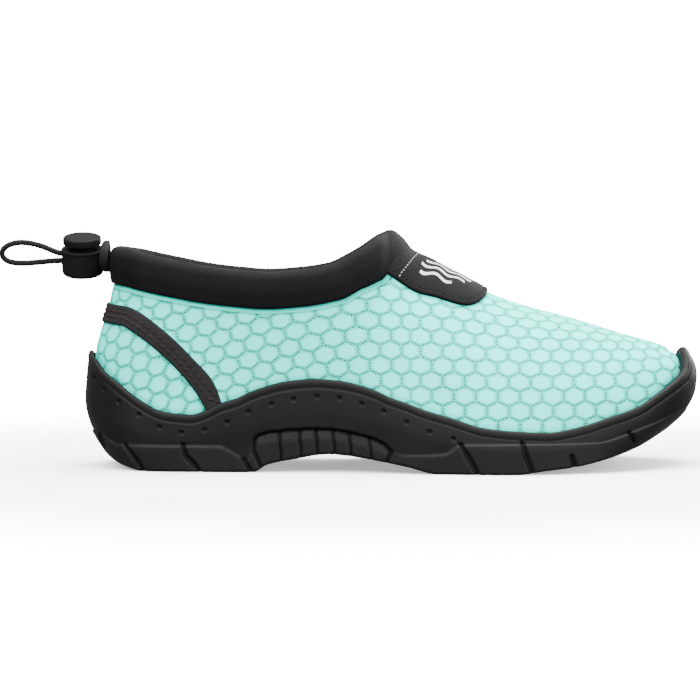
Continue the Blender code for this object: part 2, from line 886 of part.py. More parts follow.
def make_upper():
    mesh = bmesh.new()
    grid = []
    for i, (angle, top) in enumerate(COLUMNS):
        shares = upper_shares(angle, top)
        over_ridge = COLLAR_STATIONS <= opposite(i) < TOE_COLUMN
        column = [mesh.verts.new(last_point(angle, up)) for up in shares[:-1]]
        shared = grid[opposite(i)][-1] if over_ridge else None
        column.append(shared or mesh.verts.new(last_point(angle, top)))
        grid.append(column)
    for i in range(COUNT):
        here, there = grid[i], grid[(i + 1) % COUNT]
        for j in range(len(here) - 1):
            mesh.faces.new((here[j], there[j], there[j + 1], here[j + 1]))
    upper = add_mesh("upper", mesh, "mesh_fabric", smooth=50)
    wall = upper.modifiers.new("wall", "SOLIDIFY")
    wall.thickness = UPPER_WALL
    wall.offset = -1
    return upper


def collar_section():
    """Section of the collar: distance below the rim and distance off the last."""
    middle = -UPPER_WALL / 2
    pad, hem = COLLAR_PAD / 2, COLLAR_HEM / 2
    slot = UPPER_WALL / 2 + SLOT_FIT
    band = COLLAR_BAND
    section = [(band, middle + hem), (0.85 * band, middle + blend(hem, pad, 0.45))]
    section += [(0.55 * band, middle + 0.97 * pad)]
    for k in range(7):
        turn = pi * k / 6
        section.append((pad * (1 - sin(turn)), middle + pad * cos(turn)))
    section += [(0.55 * band, middle - 0.97 * pad), (band, middle - hem)]
    section += [(band, middle - slot), (SLOT_END, middle - slot)]
    return section + [(SLOT_END, middle + slot), (band, middle + slot)]


def collar_point(station, distance, out):
    return off_last(*below_rim(station, distance), out)


def make_collar():
    mesh = bmesh.new()
    section = collar_section()
    rings = [[mesh.verts.new(collar_point(k, *at)) for at in section] for k in range(len(RIM))]
    for here, there in zip(rings, rings[1:] + rings[:1]):
        for k in range(len(section)):
            after = (k + 1) % len(section)
            mesh.faces.new((here[k], there[k], there[after], here[after]))
    return add_mesh("collar", mesh, "collar_neoprene", smooth=50)


def patch(name, grid, bottom, thickness, material):
    """Thin piece that follows the last over a grid of places."""
    mesh = bmesh.new()
    layers = [
        [[mesh.verts.new(off_last(*place, out)) for place in row] for row in grid]
        for out in (bottom, bottom + thickness)
    ]
    rows, columns = len(grid), len(grid[0])
    for layer in layers:
        for i in range(rows - 1):
            for j in range(columns - 1):
                corners = (layer[i][j], layer[i][j + 1], layer[i + 1][j + 1], layer[i + 1][j])
                mesh.faces.new(corners)
    border = [(0, j) for j in range(columns)] + [(i, columns - 1) for i in range(1, rows)]
    border += [(rows - 1, j) for j in range(columns - 2, -1, -1)]
    border += [(i, 0) for i in range(rows - 2, 0, -1)]
    for (i, j), (k, m) in zip(border, border[1:] + border[:1]):
        mesh.faces.new((layers[0][i][j], layers[0][k][m], layers[1][k][m], layers[1][i][j]))
    return add_mesh(name, mesh, material, smooth=50)


def tape_band(angle):
    """Lower and upper height of the heel tape at a column."""
    x = last_x(angle)
    step = 0.001
    steep = (tape_height(x + step) - tape_height(x - step)) / (2 * step)
    half = TAPE_WIDTH / 2 * hypot(1, steep)
    return tape_height(x) - half, tape_height(x) + half


def tape_floor(angle):
    """Height just above the sole's lip."""
    return sole_edge(angle) + 0.4 * LIP_WALL + FIT


def tape_end():
    """Angle at which the tape has run down into the sole."""
    low, high = 0.0, angle_at(HEEL_TAPE["along"][-1] * SOLE_LENGTH)
    for _ in range(30):
        middle = (low + high) / 2
        clear = tape_band(middle)[1] - tape_floor(middle) > 4 * FIT
        low, high = (middle, high) if clear else (low, middle)
    return low


def make_heel_tape():
    end, grid = tape_end(), []
    for k in range(-TAPE_STATIONS, TAPE_STATIONS + 1):
        angle = end * abs(k / TAPE_STATIONS) ** 0.9 * (1 if k > 0 else -1)
        low, high = tape_band(angle)
        low = max(low, tape_floor(angle))
        heights = [blend(low, high, share) for share in (0, 0.5, 1)]
        grid.append([(angle, up_at(angle, z)) for z in heights])
    return patch("heel_tape", grid, GAP, TAPE_THICKNESS, "tape_webbing")


def tab_edge(angle):
    """Share up of the instep tab's side edge at a column."""
    x = last_x(angle)
    return up_at(angle, crown(x) - tab_drop(x))


def collar_front():
    """Share up of the collar's lower edge at angles near the throat, by side."""
    fronts = {}
    for side in SIDES.values():
        stations = [COLLAR_STATIONS + side * k for k in range(9)]
        places = [below_rim(k, COLLAR_BAND + FIT + GAP) for k in stations]
        places = sorted((abs(angle), up) for angle, up in places)
        fronts[side] = Curve([a for a, _ in places], [min(up, 1.0) for _, up in places])
    return fronts


def tab_start(side, share, fronts):
    """Angle at which a line of the tab leaves the collar's lower edge."""
    front = fronts[side]
    low, high = front.xs[0], front.xs[-1]
    for _ in range(30):
        angle = (low + high) / 2
        line = 1 - share * (1 - tab_edge(angle))
        low, high = (angle, high) if front(angle) < line else (low, angle)
    return angle


def make_instep_tab():
    fronts, tip = collar_front(), angle_at(TAB_TIP * SOLE_LENGTH)
    grid = []
    for line in TAB_LINES:
        side, share = (1 if line >= 0 else -1), abs(line)
        start = tab_start(side, share, fronts)
        row = []
        for k in TAB_STATIONS:
            angle = blend(start, tip, k)
            row.append((side * angle, 1 - share * (1 - tab_edge(angle))))
        grid.append(row)
    return patch("instep_tab", grid, FIT, TAB_THICKNESS, "collar_neoprene")


def make_insole():
    """Footbed inside the upper, down on the sole's floor."""
    profiles = []
    for angle, _ in COLUMNS:
        low = footbed(last_x(angle)) + GAP
        edge = off_last(angle, 0.0, -(UPPER_WALL + FIT))
        profiles.append([Vector((edge.x, edge.y, low + z)) for z in (0, INSOLE_THICKNESS)])
    mesh = bmesh.new()
    join_columns(mesh, profiles, 0, -1)
    return add_mesh("insole", mesh, "insole_foam", smooth=35)


# Cord lock, in its own frame: z along the barrel, x away from the loop


def collar_back():
    """The collar's rearmost x at the heel."""
    return min(collar_point(0, *at).x for at in collar_section())


def strand_heights():
    """Heights of the cord's two strands above the barrel's middle."""
    upper = BARREL_HEIGHT / 2 - BARREL_RIM - GAP - CORD_DIAMETER / 2
    return upper, upper - STRAND_SPACING


def turned(name, profile, material):
    """Turned piece from (radius, z) points, down its outer side."""
    mesh = bmesh.new()
    verts = [mesh.verts.new((radius, 0, z)) for radius, z in profile]
    for here, there in zip(verts, verts[1:]):
        mesh.edges.new((here, there))
    piece = add_mesh(name, mesh, material, smooth=40)
    screw = piece.modifiers.new("turn", "SCREW")
    screw.steps = screw.render_steps = TURN_STEPS
    screw.use_merge_vertices = True
    screw.merge_threshold = 0.00001
    return piece


def cord_slot(extra=0.0):
    """Cutter for the hole of both strands, with room above for a travel."""
    high, low = strand_heights()
    radius, half_length = CORD_DIAMETER / 2 + GAP, LOCK_REACH + CORD_TAB_DEPTH
    mesh = bmesh.new()
    ring = []
    for k in range(16):
        turn = 2 * pi * (k + 0.5) / 16
        middle = high + extra if sin(turn) > 0 else low
        ring.append(mesh.verts.new((-half_length, radius * cos(turn), middle + radius * sin(turn))))
    face = mesh.faces.new(ring)
    moved = bmesh.ops.extrude_face_region(mesh, geom=[face])["geom"]
    tops = [item for item in moved if isinstance(item, bmesh.types.BMVert)]
    bmesh.ops.translate(mesh, verts=tops, vec=(2 * half_length, 0, 0))
    bmesh.ops.recalc_face_normals(mesh, faces=mesh.faces)
    return mesh


def make_barrel():
    radius, bore = BARREL_DIAMETER / 2, STEM_DIAMETER / 2 + GAP
    half, edge = BARREL_HEIGHT / 2, 0.0008
    profile = [
        (0, BARREL_FLOOR - half),
        (bore, BARREL_FLOOR - half),
        (bore, half),
        (radius - edge / 2, half),
        (radius, half - edge / 2),
        (radius, edge - half),
        (radius - edge / 3, edge / 3 - half),
        (radius - edge, -half),
        (0, -half),
    ]
    barrel = turned("cord_lock_barrel", profile, "lock_plastic")
    cut(barrel, "barrel_slot_cutter", [cord_slot()], in_lock=True)
    return barrel


def make_button():
    """Press button with the stem that clamps the cord, up by its travel."""
    radius, stem = BUTTON_DIAMETER / 2, STEM_DIAMETER / 2
    under = BARREL_HEIGHT / 2 + BUTTON_TRAVEL + GAP
    foot = strand_heights()[1] - CORD_DIAMETER / 2 - GAP - BARREL_FLOOR
    top = under + BUTTON_HEAD
    profile = [
        (0, top + BUTTON_DOME),
        (0.55 * radius, top + 0.75 * BUTTON_DOME),
        (0.9 * radius, top + 0.15 * BUTTON_DOME),
        (radius, top - 0.3 * BUTTON_HEAD),
        (radius, under + 0.15 * BUTTON_HEAD),
        (radius - 0.15 * BUTTON_HEAD, under),
        (stem, under),
        (stem, foot),
        (0, foot),
    ]
    button = turned("cord_lock_button", profile, "lock_plastic")
    cut(button, "button_slot_cutter", [cord_slot(BUTTON_TRAVEL)], in_lock=True)
    return button


def make_cord_tab(lock_place):
    """Rubber eyelet on the collar's back, hollowed for the barrel."""
    back = collar_back() - GAP
    bpy.ops.mesh.primitive_uv_sphere_add(segments=24, ring_count=14, radius=0.5)
    tab = bpy.context.object
    size = Vector((2 * CORD_TAB_DEPTH, CORD_TAB_WIDTH, CORD_TAB_HEIGHT))
    middle = Vector((back - 0.15 * CORD_TAB_DEPTH, 0, HEEL_HEIGHT - 0.67 * LOCK_DROP))
    tab.data.transform(Matrix.Translation(middle) @ Matrix.Diagonal((*size, 1)))
    settle(tab, "cord_tab", "tab_rubber", smooth=40)
    front = box(
        (back + CORD_TAB_WIDTH / 2, 0, middle.z),
        (CORD_TAB_WIDTH, 2 * CORD_TAB_WIDTH, 2 * CORD_TAB_HEIGHT),
    )
    cradle = bmesh.new()
    bmesh.ops.create_cone(
        cradle,
        cap_ends=True,
        segments=2 * TURN_STEPS,
        radius1=BARREL_DIAMETER / 2 + FIT,
        radius2=BARREL_DIAMETER / 2 + FIT,
        depth=3 * BARREL_HEIGHT,
    )
    slot = cord_slot()
    for cutter in (cradle, slot):
        cutter.transform(lock_place)
    cut(tab, "tab_front_cutter", [front])
    cut(tab, "tab_cradle_cutter", [cradle])
    cut(tab, "tab_slot_cutter", [slot])
    return tab


def cord_route(reach):
    """Points of the cord: in by one strand, round the loop, back by the other."""
    high, low = strand_heights()
    inside = (reach, 0.5 * reach, 0.0, -0.5 * reach, -0.85 * reach)
    route = [(x, high) for x in inside] + list(CORD_LOOP) + [(x, low) for x in inside[::-1]]
    return [Vector((x, 0, z)) for x, z in route]


def even_points(route, step):
    """Evenly spaced points of a smooth curve through the route."""
    fine = []
    padded = [route[0] * 2 - route[1]] + route + [route[-1] * 2 - route[-2]]
    for a, b, c, d in zip(padded, padded[1:], padded[2:], padded[3:]):
        for t in (k / 12 for k in range(12)):
            fine.append(
                (2 * b + (c - a) * t + (2 * a - 5 * b + 4 * c - d) * t**2 + (3 * b - a - 3 * c + d) * t**3)
                / 2
            )
    fine.append(route[-1])
    lengths = [0.0]
    for before, after in zip(fine, fine[1:]):
        lengths.append(lengths[-1] + (after - before).length)
    count = ceil(lengths[-1] / step)
    points, i = [], 0
    for k in range(count + 1):
        want = lengths[-1] * k / count
        while i < len(fine) - 2 and lengths[i + 1] < want:
            i += 1
        share = (want - lengths[i]) / (lengths[i + 1] - lengths[i])
        points.append(fine[i].lerp(fine[i + 1], share))
    return points


def make_draw_cord():
    data = bpy.data.curves.new("draw_cord", "CURVE")
    data.dimensions = "3D"
    data.bevel_depth = CORD_DIAMETER / 2
    data.bevel_resolution = 2
    data.use_fill_caps = True
    points = even_points(cord_route(LOCK_REACH - 2 * GAP), CORD_STEP)
    spline = data.splines.new("POLY")
    spline.points.add(len(points) - 1)
    for target, point in zip(spline.points, points):
        target.co = (*point, 1)
    cord = bpy.data.objects.new("draw_cord", data)
    return settle(cord, "draw_cord", "cord_black")


# Building


COLOURS = {
    "sole_rubber": ((0.012, 0.012, 0.013), 0.62),
    "mesh_fabric": ((0.33, 0.80, 0.72), 0.85),
    "collar_neoprene": ((0.008, 0.008, 0.009), 0.80),
    "tape_webbing": ((0.010, 0.010, 0.011), 0.75),
    "insole_foam": ((0.06, 0.06, 0.065), 0.9),
    "tab_rubber": ((0.045, 0.045, 0.047), 0.55),
    "lock_plastic": ((0.016, 0.016, 0.017), 0.42),
    "cord_black": ((0.02, 0.02, 0.021), 0.7),
}


def material(name):
    """The named material, made on first use."""
    found = bpy.data.materials.get(name)
    if found:
        return found
    made = bpy.data.materials.new(name)
    made.use_nodes = True
    colour, roughness = COLOURS[name]
    shader = made.node_tree.nodes["Principled BSDF"]
    shader.inputs["Base Color"].default_value = (*colour, 1)
    shader.inputs["Roughness"].default_value = roughness
    shader.inputs["Metallic"].default_value = 0.0
    made.diffuse_color = (*colour, 1)
    return made


def collection(name):
    """The named collection, linked to the scene."""
    found = bpy.data.collections.get(name)
    if not found:
        found = bpy.data.collections.new(name)
        bpy.context.scene.collection.children.link(found)
    return found


def settle(piece, name, finish, smooth=None):
    """Name a piece, give it its material and put it in the shoe's collection."""
    piece.name = piece.data.name = name
    for home in list(piece.users_collection):
        home.objects.unlink(piece)
    collection(COLLECTION).objects.link(piece)
    piece.data.materials.clear()
    piece.data.materials.append(material(finish))
    if smooth:
        piece.data.shade_smooth()
        piece.data.set_sharp_from_angle(angle=radians(smooth))
    return piece


def add_mesh(name, mesh, finish, smooth=None):
    """New object from a bmesh, with its faces pointing out."""
    bmesh.ops.recalc_face_normals(mesh, faces=mesh.faces)
    data = bpy.data.meshes.new(name)
    mesh.to_mesh(data)
    mesh.free()
    return settle(bpy.data.objects.new(name, data), name, finish, smooth)


def box(middle, size):
    """Axis-aligned box as a bmesh."""
    mesh = bmesh.new()
    bmesh.ops.create_cube(mesh, size=1)
    mesh.transform(Matrix.Translation(middle) @ Matrix.Diagonal((*size, 1)))
    return mesh


def cut(piece, name, shapes, in_lock=False):
    """Cut shapes out of a piece. Cutters of the lock move with the lock."""
    joined = bmesh.new()
    for shape in shapes:
        data = bpy.data.meshes.new(name)
        shape.to_mesh(data)
        shape.free()
        joined.from_mesh(data)
        bpy.data.meshes.remove(data)
    data = bpy.data.meshes.new(name)
    joined.to_mesh(data)
    joined.free()
    cutter = bpy.data.objects.new(name, data)
    cutter.hide_render = True
    cutter.display_type = "WIRE"
    collection(COLLECTION + "_cutters").objects.link(cutter)
    cutter["in_lock"] = in_lock
    boolean = piece.modifiers.new(name, "BOOLEAN")
    boolean.operation = "DIFFERENCE"
    boolean.solver = "EXACT"
    boolean.object = cutter


def empty(name, place, parent=None):
    """Empty that carries other pieces."""
    holder = bpy.data.objects.new(name, None)
    collection(COLLECTION).objects.link(holder)
    holder.parent = parent
    holder.matrix_local = place
    return holder


def row_origin(sole):
    """Place of the heel frame, so that the shoe's box is centred in plan."""
    xs = [vertex.co.x for vertex in sole.data.vertices]
    ys = [vertex.co.y for vertex in sole.data.vertices]
    return Matrix.Translation((-(min(xs) + max(xs)) / 2, -(min(ys) + max(ys)) / 2, 0))


def main():
    for old in list(bpy.data.objects):
        bpy.data.objects.remove(old)
    lock_middle = Vector((collar_back() - LOCK_REACH, 0, HEEL_HEIGHT - LOCK_DROP))
    lock_place = Matrix.Translation(lock_middle) @ Matrix.Rotation(LOCK_LEAN, 4, "X")
    sole = make_sole()
    shoe_pieces = [sole, make_upper(), make_collar(), make_instep_tab(), make_heel_tape()]
    shoe_pieces += [make_insole(), make_cord_tab(lock_place)]
    lock_pieces = [make_barrel(), make_button(), make_draw_cord()]
    shoe = empty("shoe_frame", row_origin(sole))
    lock = empty("lock_frame", lock_place, shoe)
    for cutter in collection(COLLECTION + "_cutters").objects:
        cutter.parent = lock if cutter["in_lock"] else shoe
    for piece in shoe_pieces:
        piece.parent = shoe
    for piece in lock_pieces:
        piece.parent = lock
    bpy.context.view_layer.update()


if __name__ == "__main__":
    main()
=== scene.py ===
"""Looks of a water shoe for the right foot, as surfaces worked out with numpy.

Units are metres. Every curved piece comes from one surface, the last: the outer
surface of the fabric upper. A place on the last has two numbers. The angle runs
round the foot in plan: 0 at the heel, pi at the toe, negative on the outer side.
The share up runs from 0 at the footbed to 1 at the ridge of the foot.
"""

from math import radians

import bmesh
import bpy
import numpy as np
from mathutils import Matrix, Vector


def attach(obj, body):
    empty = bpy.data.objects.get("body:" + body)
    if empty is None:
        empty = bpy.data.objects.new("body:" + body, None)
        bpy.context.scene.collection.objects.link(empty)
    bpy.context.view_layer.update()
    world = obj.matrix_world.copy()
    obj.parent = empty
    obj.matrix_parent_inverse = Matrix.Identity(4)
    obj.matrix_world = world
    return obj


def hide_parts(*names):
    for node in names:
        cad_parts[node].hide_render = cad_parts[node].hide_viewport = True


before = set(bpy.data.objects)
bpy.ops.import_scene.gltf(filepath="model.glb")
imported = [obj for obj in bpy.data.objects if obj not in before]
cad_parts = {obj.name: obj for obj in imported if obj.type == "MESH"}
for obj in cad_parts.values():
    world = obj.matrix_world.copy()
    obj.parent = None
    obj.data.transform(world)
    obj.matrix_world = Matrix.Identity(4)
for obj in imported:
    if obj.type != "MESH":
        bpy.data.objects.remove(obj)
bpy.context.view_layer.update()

bl_info = {
    "name": "Water Shoe",
    "version": (1, 0, 0),
    "blender": (4, 5, 0),
    "location": "View3D > Sidebar > Water Shoe",
    "description": "Builds a slip-on water shoe with its cord lock, and a plain stage",
    "category": "Add Mesh",
}

# Where the heel frame, with x from the back of the sole, lies in the row frame
ROW_SHIFT = np.array((-0.122506253, -6.9687e-05, 0.0))
# Place of the cord lock's middle in the row frame, and how far its top leans out
LOCK_MIDDLE = (-0.123460993, -6.9687e-05, 0.0815)
LOCK_LEAN = radians(15)

# Overall sizes, as in the part's source
SOLE_LENGTH = 0.245
BALL_WIDTH = 0.094
WAIST_WIDTH = 0.067
HEEL_WIDTH = 0.066
TOE_SWING = 0.008
HEEL_HEIGHT = 0.0876
COLLAR_DIP_HEIGHT = 0.0781
INSTEP_HEIGHT = 0.0948
TOE_HEIGHT = 0.0455
GAP = 0.0003
FIT = 0.0005

# Sole
SOLE_WALL = 0.0033
LIP_WALL = 0.0024
TOE_BUMPER = 0.0045
BEAD_HEIGHT = 0.0025
BEAD_OUT = 0.0003
LUG_STEP = 0.0008
HEEL_ROUND = 0.034
TOE_ROUND = 0.045
TOE_FAN = 0.03
HEEL_TUCK = 0.009
TOE_TUCK = 0.014
EDGE_CHAMFER = 0.0012
FOOTBED_HEIGHT = 0.009
ARCH_LIFT = 0.0072
TOE_SPRING = 0.0148
SIDE_HEIGHT = 0.0452
LEDGE_HEIGHT = 0.0077
TREAD_WIDTH = 0.0022
TREAD_DEPTH = 0.0024

# Upper and what is sewn to it
UPPER_WALL = 0.0022
HEEL_LEAN = 0.0088
TOE_LEAN = 0.006
COLLAR_BAND = 0.0146
COLLAR_PAD = 0.0068
COLLAR_HEM = 0.0052
TAPE_WIDTH = 0.0075
TAPE_THICKNESS = 0.0009
TAB_THICKNESS = 0.0011
TAB_DROP = 0.0141
INSOLE_THICKNESS = 0.003

# Cord lock and draw cord
CORD_DIAMETER = 0.0023
STRAND_SPACING = 0.0031
BARREL_DIAMETER = 0.017
BARREL_HEIGHT = 0.0109
BARREL_FLOOR = 0.0012
BARREL_RIM = 0.0006
BUTTON_DIAMETER = 0.0153
BUTTON_HEAD = 0.0022
BUTTON_DOME = 0.0009
STEM_DIAMETER = 0.01
BUTTON_TRAVEL = 0.0015
LOCK_REACH = 0.011
CORD_TAB_WIDTH = 0.016
CORD_TAB_HEIGHT = 0.0127
CORD_TAB_DEPTH = 0.006
COLLAR_BACK = 0.010045

# How fine the grids are
RIM_STEPS = 150
FOREFOOT_STEPS = 190
FREE_ROWS = 54
SOLE_STEPS = 556
WALL_ROWS = 50
TREAD_ROWS = 22
TURN_STEPS = 96

OUTER, INNER = -1, 1
TAU = 2 * np.pi


def table(names, *rows):
    """Columns by name, from the given rows."""
    return dict(zip(names.split(), map(np.array, zip(*rows))))


class Curve:
    """A smooth line through a table's points that never overshoots them.

    Between two points it is the cubic with a given slope at each end. The slope
    at a point is the weighted harmonic mean of the rises on its two sides.
    """

    def __init__(self, xs, ys):
        """Work out the slope at every point."""
        self.xs, self.ys = np.array(xs, float), np.array(ys, float)
        step = np.diff(self.xs)
        rise = np.diff(self.ys) / step
        before, after, left, right = rise[:-1], rise[1:], step[:-1], step[1:]
        first, second = 2 * right + left, right + 2 * left
        turns = before * after <= 0
        safe_before = np.where(turns, 1.0, before)
        safe_after = np.where(turns, 1.0, after)
        inner = np.where(turns, 0.0, (first + second) / (first / safe_before + second / safe_after))
        self.slopes = np.concatenate(([rise[0]], inner, [rise[-1]]))

    def __call__(self, x):
        """Height of the line at x, which is held within the table's ends."""
        x = np.clip(x, self.xs[0], self.xs[-1])
        i = np.clip(np.searchsorted(self.xs, x, side="right") - 1, 0, len(self.xs) - 2)
        step = self.xs[i + 1] - self.xs[i]
        t = (x - self.xs[i]) / step
        return (
            (1 + 2 * t) * (1 - t) ** 2 * self.ys[i]
            + t * (1 - t) ** 2 * step * self.slopes[i]
            + t * t * (3 - 2 * t) * self.ys[i + 1]
            + t * t * (t - 1) * step * self.slopes[i + 1]
        )


# Plan of the sole. along: share of the sole's length. width: the size that the
# row follows. outer, inner: share of that width on each side of the centre line.
PLAN = table(
    "along width outer inner",
    (0.00, HEEL_WIDTH, 0.500, 0.500),
    (0.12, HEEL_WIDTH, 0.500, 0.500),
    (0.22, HEEL_WIDTH, 0.510, 0.485),
    (0.32, WAIST_WIDTH, 0.530, 0.455),
    (0.41, WAIST_WIDTH, 0.560, 0.440),
    (0.50, WAIST_WIDTH, 0.625, 0.500),
    (0.59, BALL_WIDTH, 0.490, 0.425),
    (0.68, BALL_WIDTH, 0.530, 0.450),
    (0.74, BALL_WIDTH, 0.525, 0.455),
    (0.82, BALL_WIDTH, 0.480, 0.435),
    (0.90, BALL_WIDTH, 0.430, 0.395),
    (1.00, BALL_WIDTH, 0.400, 0.370),
)
# Centre line of the plan. swing: share of the toe's swing towards the big toe.
CENTRE = table(
    "along swing",
    (0.0, 0.0),
    (0.4, 0.0),
    (0.5, 0.08),
    (0.6, 0.22),
    (0.7, 0.42),
    (0.8, 0.64),
    (0.9, 0.85),
    (1.0, 1.0),
)
# Height of the footbed, as a share of its height under the heel.
FOOTBED = table(
    "along height",
    (0.0147, 2.25),
    (0.025, 1.85),
    (0.04, 1.5),
    (0.065, 1.2),
    (0.105, 1.0),
    (0.25, 1.0),
    (0.33, 1.22),
    (0.40, 1.42),
    (0.47, 1.28),
    (0.55, 0.9),
    (0.61, 0.78),
    (0.71, 0.83),
    (0.80, 1.06),
    (0.86, 1.4),
    (0.905, 1.85),
    (0.945, 2.35),
    (0.98, 2.85),
)
# Ridge of the foot, as a share of the instep's height. Behind the throat it
# rises into the leg, above the collar, where no piece reaches.
RIDGE = table(
    "along height",
    (0.00, 1.85),
    (0.25, 1.92),
    (0.35, 1.90),
    (0.40, 1.62),
    (0.425, 1.42),
    (0.45, 1.28),
    (0.4727, 1.125),
    (0.4893, 0.998),
    (0.4918, 0.992),
    (0.53, 0.897),
    (0.565, 0.854),
    (0.59, 0.820),
    (0.615, 0.787),
    (0.64, 0.752),
    (0.655, 0.731),
    (0.704, 0.684),
    (0.752, 0.649),
    (0.788, 0.625),
    (0.836, 0.588),
    (0.883, 0.554),
    (0.925, 0.528),
    (0.947, 0.515),
    (0.963, 0.504),
    (0.9735, 0.493),
    (0.98, 0.480),
)
# How full the cross-section of the foot is: 2 is an ellipse, more is boxier.
FULLNESS = table(
    "along power",
    (0.00, 2.2),
    (0.30, 2.2),
    (0.40, 2.0),
    (0.46, 1.95),
    (0.60, 1.9),
    (0.75, 2.0),
    (0.88, 2.3),
    (0.96, 2.8),
)
# Profile of the back. height: share of the heel's height.
# lean: share of the heel's lean towards the toe.
HEEL_PROFILE = table(
    "height lean",
    (0.34, 0.0),
    (0.51, 0.07),
    (0.57, 0.18),
    (0.64, 0.39),
    (0.71, 0.65),
    (0.78, 0.79),
    (0.84, 0.93),
    (0.92, 0.99),
    (1.10, 1.0),
)
# Profile of the front, in shares of the toe's height and of its lean backwards.
TOE_PROFILE = table(
    "height lean",
    (0.76, 0.0),
    (0.85, 0.10),
    (0.91, 0.27),
    (0.96, 0.53),
    (0.985, 0.76),
    (1.00, 1.0),
)
# Rim of the collar. rise: share of the way from the dip up to the heel's height,
# behind the dip, or up to the instep's height, in front of it.
DIP = 0.30
THROAT = 0.4918
COLLAR_RIM = table(
    "along rise",
    (0.02, 1.0),
    (0.056, 0.88),
    (0.105, 0.65),
    (0.154, 0.43),
    (0.203, 0.22),
    (0.252, 0.085),
    (DIP, 0.0),
    (0.35, 0.05),
    (0.40, 0.174),
    (0.424, 0.347),
    (0.448, 0.551),
    (0.4727, 0.79),
    (THROAT, 0.956),
)
# Wavy top edge of the sole. height: share of the side's height at the heel.
SOLE_EDGE = table(
    "along height",
    (0.0147, 1.0),
    (0.026, 0.935),
    (0.042, 0.84),
    (0.060, 0.767),
    (0.082, 0.673),
    (0.105, 0.586),
    (0.130, 0.515),
    (0.154, 0.491),
    (0.179, 0.482),
    (0.203, 0.518),
    (0.228, 0.584),
    (0.252, 0.624),
    (0.277, 0.688),
    (0.301, 0.732),
    (0.326, 0.768),
    (0.375, 0.794),
    (0.424, 0.772),
    (0.448, 0.741),
    (0.473, 0.695),
    (0.497, 0.635),
    (0.522, 0.589),
    (0.546, 0.538),
    (0.595, 0.460),
    (0.644, 0.381),
    (0.693, 0.352),
    (0.742, 0.341),
    (0.791, 0.381),
    (0.840, 0.456),
    (0.889, 0.544),
    (0.9192, 0.642),
    (0.9384, 0.712),
    (0.9576, 0.788),
    (0.9665, 0.830),
    (0.9717, 0.876),
    (0.9763, 0.924),
    (0.9792, 0.952),
    (0.9804, 0.966),
)
# Underside of the sole. arch, toe, heel: shares of the arch's lift, of the toe
# spring and of the bevel at the back of the heel.
HEEL_BEVEL = 0.0084
UNDERSIDE = table(
    "along heel arch toe",
    (0.000, 1.60, 0.0, 0.0),
    (0.029, 1.00, 0.0, 0.0),
    (0.043, 0.62, 0.0, 0.0),
    (0.066, 0.24, 0.0, 0.0),
    (0.105, 0.0, 0.0, 0.0),
    (0.277, 0.0, 0.0, 0.0),
    (0.301, 0.0, 0.42, 0.0),
    (0.350, 0.0, 0.76, 0.0),
    (0.375, 0.0, 0.93, 0.0),
    (0.399, 0.0, 1.0, 0.0),
    (0.424, 0.0, 0.94, 0.0),
    (0.473, 0.0, 0.69, 0.0),
    (0.522, 0.0, 0.37, 0.0),
    (0.571, 0.0, 0.0, 0.0),
    (0.694, 0.0, 0.0, 0.0),
    (0.742, 0.0, 0.0, 0.095),
    (0.791, 0.0, 0.0, 0.19),
    (0.840, 0.0, 0.0, 0.365),
    (0.889, 0.0, 0.0, 0.608),
    (0.925, 0.0, 0.0, 0.872),
    (0.943, 0.0, 0.0, 1.0),
    (0.984, 0.0, 0.0, 1.55),
)
# Ledge above the lugs. height: share of the ledge's height.
# step: share of the lugs' step outwards below it.
LEDGE = table(
    "along height step",
    (0.033, 1.85, 1.0),
    (0.063, 1.34, 1.0),
    (0.223, 1.30, 1.0),
    (0.251, 0.90, 1.0),
    (0.268, 0.60, 1.0),
    (0.280, 1.66, 0.0),
    (0.302, 2.02, 0.0),
    (0.335, 2.13, 0.0),
    (0.370, 2.20, 0.0),
    (0.405, 2.17, 0.0),
    (0.432, 2.02, 0.0),
    (0.467, 1.76, 0.0),
    (0.491, 1.36, 0.0),
    (0.515, 0.93, 0.4),
    (0.580, 1.00, 0.8),
    (0.607, 1.46, 1.0),
    (0.824, 1.54, 1.0),
    (0.865, 1.85, 1.0),
    (0.892, 2.15, 1.0),
    (0.933, 2.60, 0.8),
    (0.960, 2.95, 0.5),
)
# Centre line of the heel tape, in shares of the sole's length and heel's height.
HEEL_TAPE = table(
    "along height",
    (0.0147, 0.699),
    (0.056, 0.690),
    (0.081, 0.664),
    (0.105, 0.626),
    (0.13, 0.577),
    (0.154, 0.519),
    (0.179, 0.445),
    (0.2, 0.368),
    (0.211, 0.313),
    (0.222, 0.237),
    (0.24, 0.094),
)
# Side edge of the instep tab. drop: how far it lies below the ridge, as a share
# of the tab's drop at its side.
INSTEP_TAB = table(
    "along drop",
    (0.495, 1.22),
    (0.524, 1.05),
    (0.548, 1.0),
    (0.573, 0.905),
    (0.590, 0.845),
    (0.603, 0.80),
    (0.615, 0.735),
    (0.628, 0.60),
    (0.641, 0.38),
    (0.650, 0.17),
    (0.6545, 0.0),
)
TAB_TIP = 0.6545

